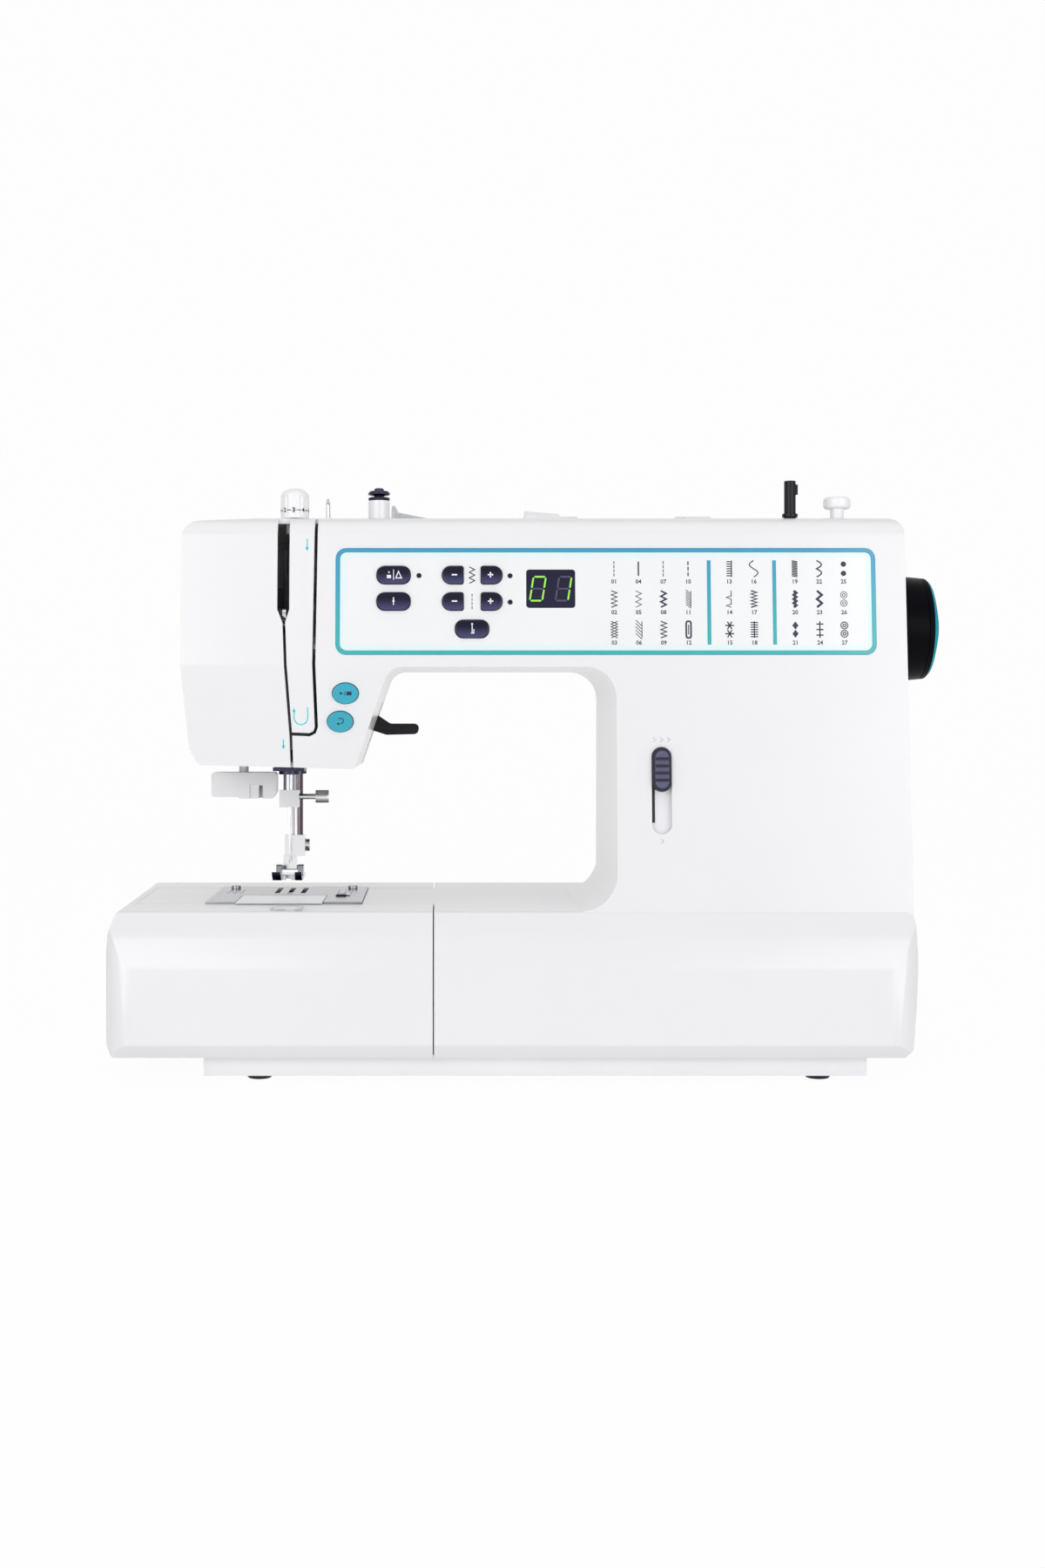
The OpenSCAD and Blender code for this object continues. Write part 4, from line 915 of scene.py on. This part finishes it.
@dataclass(frozen=True)
class Motif:
    """One pattern: its kind, how often it repeats, its width and its line."""

    kind: Stitch
    count: int = 4
    width: float = 3.0
    line: float = 0.35
    height: float = 8.0

    def draw(self, sheet: Print, u: float, v: float) -> None:
        """Draws the pattern centred on a point.

        Args:
            sheet: the print that takes it.
            u: middle of the pattern.
            v: middle of the pattern.
        """
        top, half, n = v + self.height / 2, self.width / 2, self.count
        pitch = self.height / n
        levels = top - pitch * (np.arange(n) + 0.5)
        corners = np.stack([u + half * np.where(np.arange(2 * n + 1) % 2, 1, -1),
                            top - pitch / 2 * np.arange(2 * n + 1)], axis=1)
        if self.kind is Stitch.DASHES:
            dash = pitch * 0.36
            for place in levels:
                sheet.stroke([[u, place + dash], [u, place - dash]], self.line)
        elif self.kind is Stitch.LINE:
            sheet.stroke([[u, top], [u, top - self.height]], self.line)
        elif self.kind is Stitch.ZIGZAG:
            sheet.stroke(corners, self.line)
        elif self.kind is Stitch.DOUBLE:
            sheet.stroke(corners, self.line)
            sheet.stroke(corners * [-1, 1] + [2 * u, 0], self.line)
        elif self.kind in (Stitch.HATCH, Stitch.COMB, Stitch.SATIN, Stitch.LADDER):
            slant = {Stitch.HATCH: 0.9, Stitch.SATIN: 0.35}.get(self.kind, 0.0) * pitch
            for place in levels:
                sheet.stroke([[u - half, place + slant], [u + half, place - slant]], self.line)
            if self.kind is not Stitch.SATIN:
                edge = u + half if self.kind is not Stitch.LADDER else u
                sheet.stroke([[edge, top], [edge, top - self.height]], self.line)
        elif self.kind is Stitch.BLIND:
            steps = np.array([[0.6, 0], [0.6, 0.62], [-1, 0.8], [0.6, 1.0]])
            for i in range(n):
                sheet.stroke(steps * [half, -pitch] + [u, top - pitch * i], self.line)
        elif self.kind is Stitch.BOX:
            round_off = circle(0, 0, 1, 24)
            square = np.sign(round_off) * np.abs(round_off) ** 0.35
            around = square * [half * 0.8, self.height / 2]
            sheet.stroke(around + [u, v], self.line * 1.7, True)
            bar = self.height * 0.3
            sheet.stroke([[u, v + bar], [u, v - bar]], self.line)
        elif self.kind is Stitch.WAVE:
            t = np.linspace(0, 1, 12 * n + 1)
            path = np.stack([u - half * np.sin(2 * np.pi * n * t), top - self.height * t], axis=1)
            sheet.stroke(path, self.line)
        elif self.kind is Stitch.STARS:
            for place in levels:
                for turn in (0, 60, 120):
                    a = math.radians(turn)
                    arm = np.array([math.cos(a), math.sin(a)]) * half
                    sheet.stroke(np.array([arm, -arm]) + [u, place], self.line)
        elif self.kind is Stitch.SCALLOP:
            t = np.linspace(0, 1, 12 * n + 1)
            bulge = self.width * np.abs(np.sin(np.pi * n * t))
            sheet.stroke(np.stack([u - half + bulge, top - self.height * t], axis=1), self.line)
        elif self.kind in (Stitch.DOTS, Stitch.LEAVES):
            for place in levels:
                turn = np.linspace(0, 2 * np.pi, 18, endpoint=False)
                grow = 1 if self.kind is Stitch.DOTS else 0.84 + 0.16 * np.cos(4 * turn)
                tall = half if self.kind is Stitch.DOTS else pitch * 0.47
                leaf = np.stack([half * grow * np.cos(turn), tall * grow * np.sin(turn)], axis=1)
                sheet.patch(leaf + [u, place])
        elif self.kind is Stitch.RINGS:
            for place in levels:
                radius = min(half, pitch / 2) * 0.92
                for share in (1.0, 0.42):
                    sheet.stroke(circle(u, place, radius * share, 18), self.line, True)


# ---- sub-assemblies
FRONT = Face(FRONT_Y, FRONT_Z, FRONT_LEAN)
CHIN_Y = FRONT_Y + (CHIN_Z - FRONT_Z) * math.tan(math.radians(FRONT_LEAN))
CHIN = Face(CHIN_Y, CHIN_Z, CHIN_LEAN)


@dataclass
class ControlPanel:
    """The panel: chart of stitches, icons, display and the signs of its keys."""

    columns: tuple[float, ...] = (36.2, 48.0, 60.0, 72.0, 91.8, 103.7, 123.5, 135.3, 147.1)
    bars: tuple[float, ...] = (82.0, 113.6)
    bar_span: Pair = (209.6, 250.5)
    bar_width: float = 1.8
    rows: tuple[float, ...] = (246.4, 231.7, 216.9)
    labels: tuple[float, ...] = (240.1, 225.2, 210.5)
    label_size: float = 2.05
    face_out: float = 0.1
    key_out: float = 1.5
    sign_half: float = 1.3
    sign_line: float = 0.7
    display: Pair = (5.6, 236.7)
    digit: Pair = (6.0, 11.6)
    digit_pitch: float = 12.4
    bar_gap: float = 0.28
    bar_half: float = 0.42
    slant: float = 0.16

    def motifs(self) -> list[Motif]:
        """The 27 patterns, column by column."""
        s = Stitch
        return [
            Motif(s.DASHES, 4, 1, 0.45), Motif(s.ZIGZAG, 4, 2.8, 0.55),
            Motif(s.DOUBLE, 3, 3.2, 0.42),
            Motif(s.LINE, 1, 1, 0.7, 7.0), Motif(s.ZIGZAG, 3, 2.8, 0.36),
            Motif(s.HATCH, 5, 3.0, 0.36),
            Motif(s.DASHES, 4, 1, 0.42), Motif(s.ZIGZAG, 3, 2.6, 0.8),
            Motif(s.ZIGZAG, 4, 2.8, 0.62),
            Motif(s.DASHES, 3, 1, 0.6), Motif(s.HATCH, 7, 2.4, 0.38), Motif(s.BOX, 1, 2.9, 0.5),
            Motif(s.COMB, 7, 2.4, 0.52), Motif(s.BLIND, 2, 3.0, 0.45),
            Motif(s.STARS, 2, 4.2, 0.62),
            Motif(s.WAVE, 1, 4.2, 0.52), Motif(s.ZIGZAG, 5, 2.8, 0.75),
            Motif(s.LADDER, 7, 3.6, 0.52),
            Motif(s.SATIN, 12, 2.7, 0.5), Motif(s.ZIGZAG, 4, 1.2, 1.3), Motif(s.LEAVES, 2, 2.8),
            Motif(s.SCALLOP, 2, 2.4, 0.65), Motif(s.ZIGZAG, 2, 2.4, 1.1),
            Motif(s.LADDER, 3, 3.4, 0.62),
            Motif(s.DOTS, 2, 2.6, 0.4, 9.0), Motif(s.RINGS, 2, 3.4, 0.34),
            Motif(s.RINGS, 2, 3.6, 0.5),
        ]

    def chart(self) -> bpy.types.Object:
        """Patterns with their numbers."""
        sheet = Print(FRONT, self.face_out - 0.04, self.face_out + 0.05)
        for i, motif in enumerate(self.motifs()):
            u = self.columns[i // 3]
            motif.draw(sheet, u, self.rows[i % 3])
            sheet.words(f"{i + 1:02d}", u, self.labels[i % 3], self.label_size)
        Motif(Stitch.ZIGZAG, 3, 2.6, 0.5).draw(sheet, LOCK_KEY_X, KEY_ROWS[0])
        Motif(Stitch.DASHES, 4, 1, 0.4).draw(sheet, LOCK_KEY_X, KEY_ROWS[1])
        return sheet.buffer.object("stitch_chart", INK)

    def dividers(self) -> bpy.types.Object:
        """The two coloured bars between the groups of the chart."""
        sheet = Print(FRONT, self.face_out - 0.04, self.face_out + 0.12)
        low, high = self.bar_span
        for u in self.bars:
            sheet.stroke([[u, low], [u, high]], self.bar_width)
        return sheet.buffer.object("chart_bars", TEAL_TRIM)

    def segment(self, sheet: Print, u: float, v: float, name: str) -> None:
        """One bar of a seven-part digit, leaning like the whole digit.

        Args:
            sheet: the print that takes it.
            u: middle of the digit.
            v: middle of the digit.
            name: the bar's letter, a to g.
        """
        w, h = self.digit[0] / 2, self.digit[1] / 2
        gap, thick = self.bar_gap, self.bar_half
        ends = {
            "a": ((-w, h), (w, h)), "b": ((w, h), (w, 0)), "c": ((w, 0), (w, -h)),
            "d": ((-w, -h), (w, -h)), "e": ((-w, 0), (-w, -h)), "f": ((-w, h), (-w, 0)),
            "g": ((-w, 0), (w, 0)),
        }[name]
        a, b = (np.array(p, float) for p in ends)
        along = (b - a) / np.linalg.norm(b - a)
        side = np.array([-along[1], along[0]]) * thick
        a, b = a + along * gap, b - along * gap
        tip = along * thick
        outline = np.array(
            [a, a + tip + side, b - tip + side, b, b - tip - side, a + tip - side]
        )
        outline[:, 0] += outline[:, 1] * self.slant
        sheet.patch(outline + [u, v])

    def digits(self) -> tuple[bpy.types.Object, bpy.types.Object]:
        """The lit number 01 and the bars that are dark."""
        lit, dark = (Print(FRONT, 0.02, 0.09) for _ in range(2))
        u, v = self.display
        for place, number in ((-0.5, "abcdef"), (0.5, "bc")):
            for name in "abcdefg":
                sheet = lit if name in number else dark
                self.segment(sheet, u + place * self.digit_pitch, v, name)
        return lit.buffer.object("display_lit", LIT), dark.buffer.object("display_dark", UNLIT)

    def key_signs(self) -> dict[str, bpy.types.Object]:
        """White signs on the dark keys.

        Returns:
            Body name to the piece that rides on it.
        """
        made = {}

        def sheet() -> Print:
            """A print on the key tops."""
            return Print(FRONT, self.key_out - 0.04, self.key_out + 0.05)

        half, bold = self.sign_half, self.sign_line
        for kind, v in (("width", KEY_ROWS[0]), ("length", KEY_ROWS[1])):
            minus = sheet()
            u = MINUS_KEY_X
            minus.stroke([[u - half, v], [u + half, v]], bold)
            made[f"{kind}_minus_key"] = minus.buffer.object(f"{kind}_minus_sign", WHITE_INK)
            plus = sheet()
            u = PLUS_KEY_X
            plus.stroke([[u - half, v], [u + half, v]], bold)
            plus.stroke([[u, v + half], [u, v - half]], bold)
            made[f"{kind}_plus_key"] = plus.buffer.object(f"{kind}_plus_sign", WHITE_INK)
        upper = sheet()
        u, v = MODE_KEY_X, KEY_ROWS[0]
        upper.stroke([[u, v + 2.5], [u, v - 2.5]], 0.35)
        left, right, low, high = u - 3.2, u - 1.2, v - 1.7, v - 0.1
        upper.patch([[left, low], [right, low], [right, high], [left, high]])
        upper.disc(u - 2.2, v + 1.2, 0.4)
        upper.stroke([[u + 1.1, v - 1.6], [u + 2.4, v + 1.6], [u + 3.9, v - 1.6]], 0.5, True)
        made["mode_key_upper"] = upper.buffer.object("mode_sign_upper", WHITE_INK)
        lower = sheet()
        v = KEY_ROWS[1]
        lower.stroke([[u, v + 1.9], [u, v + 0.5]], 0.5)
        lower.stroke([[u, v - 0.5], [u, v - 1.9]], 0.5)
        lower.disc(u, v, 0.55)
        made["mode_key_lower"] = lower.buffer.object("mode_sign_lower", WHITE_INK)
        lock = sheet()
        u, v = LOCK_KEY_X, KEY_ROWS[2]
        lock.stroke([[u, v + 2.2], [u, v - 2.2]], 0.45)
        lock.stroke([[u + 0.8, v - 0.2], [u + 0.8, v - 2.2], [u - 0.6, v - 2.2]], 0.45)
        lock.disc(u, v + 2.2, 0.5)
        made["lock_key"] = lock.buffer.object("lock_sign", WHITE_INK)
        return made

    def build(self) -> None:
        """Makes every print and sets it on its body."""
        for piece, slot in ((self.chart(), "panel"), (self.dividers(), "accent")):
            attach(piece, "machine")
        for piece in self.digits():
            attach(piece, "machine")
        for body, piece in self.key_signs().items():
            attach(piece, body)
        LOG.info("panel: chart, bars, digits and signs")


@dataclass
class Housing:
    """The white covers with their printed arrows."""

    bevel: float = 0.5
    arrow_width: float = 0.55
    head_half: float = 0.9
    upper_x: float = -112.1
    lower_x: float = -123.7
    hook: Triple = (-118.4, -111.8, 174.4)
    slider_x: float = 58.4
    fast_z: float = 163.9
    slow_z: float = 115.4
    mark_pitch: float = 3.4

    def head(self, sheet: Print, u: float, base: float, tip: float) -> None:
        """An arrow's head.

        Args:
            sheet: the print that takes it.
            u: the arrow's place along the arm.
            base: height of the head's wide end.
            tip: height of its point.
        """
        sheet.patch([[u - self.head_half, base], [u + self.head_half, base], [u, tip]])

    def arrows(self) -> None:
        """The threading arrows and the marks of the speed slot."""
        sheet = Print(FRONT)
        u = self.upper_x
        sheet.stroke([[u, 261.0], [u, 256.2]], self.arrow_width)
        self.head(sheet, u, 256.8, 255.0)
        arrows = sheet.buffer.object("threading_arrow_upper", TEAL_INK)
        low = Print(CHIN)
        turn = np.linspace(0, np.pi, 13)
        left, right, level = self.hook
        half = (right - left) / 2
        x, z = (left + right) / 2 + half * np.cos(turn), level - half * np.sin(turn)
        path = np.concatenate([[[right, 179.5]], np.stack([x, z], axis=1), [[left, 177.6]]])
        low.stroke(path, self.arrow_width)
        self.head(low, left, 177.2, 179.3)
        u = self.lower_x
        low.stroke([[u, 164.0], [u, 160.2]], self.arrow_width)
        self.head(low, u, 160.9, 159.1)
        lower = low.buffer.object("threading_arrows_lower", TEAL_INK)
        marks = Print(FRONT)
        spots = [(shift * self.mark_pitch, self.fast_z) for shift in (-1, 0, 1)]
        for shift, v in [*spots, (0.0, self.slow_z)]:
            u = self.slider_x + shift
            marks.stroke([[u - 0.7, v - 1.2], [u + 0.7, v], [u - 0.7, v + 1.2]], 0.45)
        speed = marks.buffer.object("speed_marks", PALE_INK)
        for piece in (arrows, lower, speed):
            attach(piece, "machine")

    def build(self) -> None:
        """Softens the covers' edges and prints the arrows."""
        for node in ("front_cover", "rear_cover", "face_cover", "free_arm"):
            dressed(f"{node}_skin", node, WHITE, self.bevel)
        dressed("accessory_tray_skin", "accessory_tray", TRAY_WHITE, self.bevel)
        dressed("base_plate_skin", "base_plate", BASE, self.bevel)
        self.arrows()
        LOG.info("housing: covers, tray, arrows")


@dataclass
class RunButtons:
    """The two turquoise buttons on the head with their signs."""

    out: float = 1.4
    start: Pair = (-93.5, 186.2)
    back: Pair = (-96.1, 172.6)

    def build(self) -> None:
        """Signs that ride with the buttons."""
        signs = Print(CHIN, self.out - 0.04, self.out + 0.05)
        u, v = self.start
        signs.patch([[u - 2.6, v - 0.6], [u - 2.6, v + 0.9], [u - 0.9, v + 0.15]])
        signs.stroke([[u - 0.2, v + 1.0], [u - 0.2, v - 0.8]], 0.4)
        left, right, low, high = u + 0.6, u + 3.0, v - 0.8, v + 1.0
        signs.patch([[left, low], [right, low], [right, high], [left, high]])
        piece = signs.buffer.object("start_sign", DARK_INK)
        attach(piece, "start_key")
        signs = Print(CHIN, self.out - 0.04, self.out + 0.05)
        u, v = self.back
        turn = np.linspace(-0.5 * np.pi, 0.75 * np.pi, 13)
        x, z = u + 0.2 + 1.4 * np.cos(turn), v + 0.5 + 1.3 * np.sin(turn)
        signs.stroke(np.stack([x, z], axis=1), 0.45)
        signs.patch([[u - 0.4, v - 0.1], [u - 0.4, v - 1.7], [u - 1.8, v - 0.9]])
        piece = signs.buffer.object("reverse_sign", DARK_INK)
        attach(piece, "reverse_key")
        LOG.info("run buttons: signs")


@dataclass
class TensionDial:
    """The dial's scale: a line with numbers round its side."""

    x: float = -119.4
    y: float = -46.0
    radius: float = 7.0
    level: float = 276.2
    numbers: int = 9
    front_number: int = 3
    label_size: float = 2.2
    clear: float = 1.3

    def build(self) -> None:
        """The scale rides with the dial; the numbers stand on the line."""
        side = Drum(self.x, self.y, self.radius)
        scale = Print(side, -0.04, 0.05)
        pitch = 2 * math.pi * self.radius / self.numbers
        for i in range(self.numbers):
            u = i * pitch
            number = (self.front_number + i - 1) % self.numbers + 1
            scale.words(str(number), u, self.level, self.label_size)
            t = np.linspace(u + self.clear, u + pitch - self.clear, 6)
            scale.stroke(np.stack([t, np.full(6, self.level)], axis=1), 0.4)
        piece = scale.buffer.object("dial_scale", DARK_INK)
        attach(piece, "dial")
        LOG.info("dial: scale")


@dataclass
class NeedlePlate:
    """Seam guides marked on the needle plate."""

    top: float = 82.9
    guides: tuple[float, ...] = (25.2, 28.7, 32.2)
    span: Pair = (2.0, 24.0)

    def build(self) -> None:
        """Lines at even distances on both sides of the needle."""
        sheet = Print(Level(self.top), -0.04, 0.03)
        near, far = self.span
        for u in self.guides:
            for side in (NEEDLE_X - u, NEEDLE_X + u):
                sheet.stroke([[side, near], [side, far]], 0.3)
        piece = sheet.buffer.object("seam_guides", DARK_INK)
        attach(piece, "machine")
        LOG.info("needle plate: guides")


DARK_KEYS = (
    "mode_button_upper", "mode_button_lower", "lock_button", "width_minus_button",
    "width_plus_button", "length_minus_button", "length_plus_button",
)


@dataclass
class Fittings:
    """Every other solid, softened where it shows and given its finish."""

    shown: dict[str, tuple[Finish, float, str]] = field(default_factory=lambda: {
        "needle_plate": (PLATE_STEEL, 0.25, "plate"),
        "bobbin_cover": (CLEAR_COVER, 0.2, "clear_cover"),
        "cover_latch": (BLACK, 0.25, "black"),
        "panel_frame": (TEAL_TRIM, 0.1, "accent"),
        "control_panel": (PanelSkin("panel foil"), 0.1, "panel"),
        "display_window": (Window("display window"), 0.05, "display"),
        **dict.fromkeys(DARK_KEYS, (DARK_KEY, 0.55, "keys")),
        "start_button": (TEAL_KEY, 0.45, "accent_keys"),
        "reverse_button": (TEAL_KEY, 0.45, "accent_keys"),
        "speed_slider": (SpeedKnob("speed knob"), 0.2, "keys"),
        "hand_wheel": (WHEEL, 0.3, "wheel"),
        "wheel_ring": (WHEEL_CAP, 0.1, "accent"),
        "needle_clamp": (CHROME, 0.25, "chrome"),
        "foot_holder": (CHROME, 0.3, "chrome"),
        "presser_foot": (FOOT_STEEL, 0.15, "chrome"),
        "presser_lifter": (BLACK, 0.5, "black"),
        "needle_threader": (TRIM, 0.15, "white_trim"),
        "tension_dial": (TRIM, 0.25, "white_trim"),
        "winder_tension": (BUSH, 0.15, "chrome"),
        "winder_spindle": (BLACK, 0.2, "black"),
        "winder_stop": (TRIM, 0.25, "white_trim"),
        "spool_pin": (TRIM, 0.2, "white_trim"),
        "spool_cap": (SPOOL_CLEAR, 0.25, "clear"),
        "carry_handle": (TRIM, 0.5, "white_trim"),
        "power_inlet": (BLACK, 0.3, "black"),
        "power_switch": (BLACK, 0.3, "black"),
        "rubber_feet": (RUBBER, 0.2, "feet"),
        "screws": (PLATE_STEEL, 0.15, "steel"),
        "feed_dog": (STEEL, 0.0, "steel"),
        "take_up_lever": (CHROME, 0.2, "chrome"),
    })
    plain: dict[str, Finish] = field(default_factory=lambda: {
        "arm_casting": CASTING, "control_board": Board("circuit board"), "lamp": LENS,
        "main_shaft": TURNED, "bushes": BUSH, "drive_pulley": BLACK, "drive_belts": BELT,
        "motor": MOTOR, "motor_pulley": TURNED, "lower_shaft": TURNED, "rotary_hook": CHROME,
        "bobbin_case": BLACK, "bobbin": BOBBIN_CLEAR, "needle_bar": STEEL, "needle": CHROME,
        "presser_bar": BAR_STEEL, "presser_spring": STEEL, "thread_guide": CHROME,
    })

    def build(self) -> None:
        """Dresses the solids that show and finishes the rest in place."""
        for node, (finish, bevel, slot) in self.shown.items():
            dressed(f"{node}_piece", node, finish, bevel)
        for node, finish in self.plain.items():
            solid = frame["nodes"][node]
            solid.data.materials.clear()
            solid.data.materials.append(finish.material())
        LOG.info("fittings: %d dressed, %d finished in place", len(self.shown), len(self.plain))


# ---- studio
@dataclass
class Studio:
    """Pale floor, soft lamps and the camera."""

    eye: Triple = (-0.0492, -0.926, 0.174)
    lens: float = 40.96
    sensor: float = 36.0
    shift: Pair = (0.0544, -0.0417)
    world: float = 0.54
    glow: float = 0.97
    floor_front: float = -3000.0
    floor_back: float = 1600.0
    bend: float = 1000.0
    reach: float = 4000.0
    aim_z: float = 0.14
    lamps: tuple[tuple[Triple, float, float], ...] = (
        ((-0.9, -1.6, 0.3), 1.2, 10.4),
        ((1.0, -1.5, 0.22), 1.1, 9.4),
        ((0.0, -0.5, 1.5), 1.2, 2.4),
    )

    def backdrop(self) -> None:
        """A floor that curves up into a wall: straight, then a quarter round, then straight."""
        turn = np.linspace(0, np.pi / 2, 16)
        radius, wall = self.bend, self.floor_back + self.bend
        y = np.concatenate(
            [[self.floor_front], self.floor_back + radius * np.sin(turn), [wall]]
        )
        z = np.concatenate([[0.0], radius * (1 - np.cos(turn)), [self.reach]])
        x = np.array([-self.reach, self.reach])
        points = np.stack(np.broadcast_arrays(x[None, :], y[:, None], z[:, None]), axis=-1)
        sweep = Buffer()
        sweep.grid(points, wrap=False)
        self.plain(sweep)

    def plain(self, sweep: Buffer) -> bpy.types.Object:
        """The backdrop with its pale material, which the camera sees as near white."""
        mesh = sweep.mesh("floor")
        mesh.shade_smooth()
        floor = linked("floor", mesh)
        tree = Tree("floor")
        tree.set("Base Color", (0.93, 0.93, 0.94, 1))
        tree.set("Roughness", 0.8)
        tree.set("Specular IOR Level", 0.1)
        rays = tree.nodes.new("ShaderNodeLightPath").outputs
        direct, mirrored, through = (
            Link(tree, rays[f"Is {kind} Ray"]) for kind in ("Camera", "Glossy", "Transmission")
        )
        seen = direct.at_least(mirrored).at_least(through)
        glow = tree.add("ShaderNodeEmission", {}, {"Color": (1, 1, 1, 1), "Strength": 1.0})
        inputs = {0: seen * self.glow, 1: Link(tree, tree.shader.outputs[0]), 2: glow}
        mixed = tree.add("ShaderNodeMixShader", {}, inputs)
        tree.links.new(mixed.socket, tree.output.inputs["Surface"])
        mesh.materials.append(tree.material)
        return floor

    def lights(self) -> None:
        """Large square lamps that face the machine, and an even white world."""
        for i, (spot, size, power) in enumerate(self.lamps):
            light = bpy.data.lights.new(f"lamp_{i}", "AREA")
            light.size = size
            light.energy = power
            lamp = linked(f"lamp_{i}", light)
            lamp.location = spot
            aim = Vector((0.0, 0.0, self.aim_z)) - Vector(spot)
            lamp.rotation_euler = aim.to_track_quat("-Z", "Y").to_euler()
        world = bpy.data.worlds.new("studio")
        world.use_nodes = True
        shade = world.node_tree.nodes["Background"]
        shade.inputs[0].default_value = (1, 1, 1, 1)
        shade.inputs[1].default_value = self.world
        bpy.context.scene.world = world

    def camera(self) -> None:
        """A level camera in front of the machine, its frame shifted to the side and down."""
        data = bpy.data.cameras.new("camera")
        data.sensor_fit = "VERTICAL"
        data.sensor_height = self.sensor
        data.sensor_width = self.sensor
        data.lens = self.lens
        data.shift_x, data.shift_y = self.shift
        data.clip_start = 0.01
        camera = linked("camera", data)
        camera.location = self.eye
        camera.rotation_euler = (math.pi / 2, 0, 0)
        bpy.context.scene.camera = camera

    def build(self) -> None:
        """Sets up everything that isn't the machine."""
        self.backdrop()
        self.lights()
        self.camera()
        bpy.context.scene.view_settings.view_transform = "Standard"
        LOG.info("studio: floor, lamps, camera")


def main() -> None:
    """Builds each sub-assembly in order."""
    logging.basicConfig(level=logging.INFO, format="%(name)s: %(message)s")
    machine = (Housing(), ControlPanel(), RunButtons(), TensionDial(), NeedlePlate(), Fittings())
    for part in (*machine, Studio()):
        part.build()


if __name__ == "__main__":
    main()
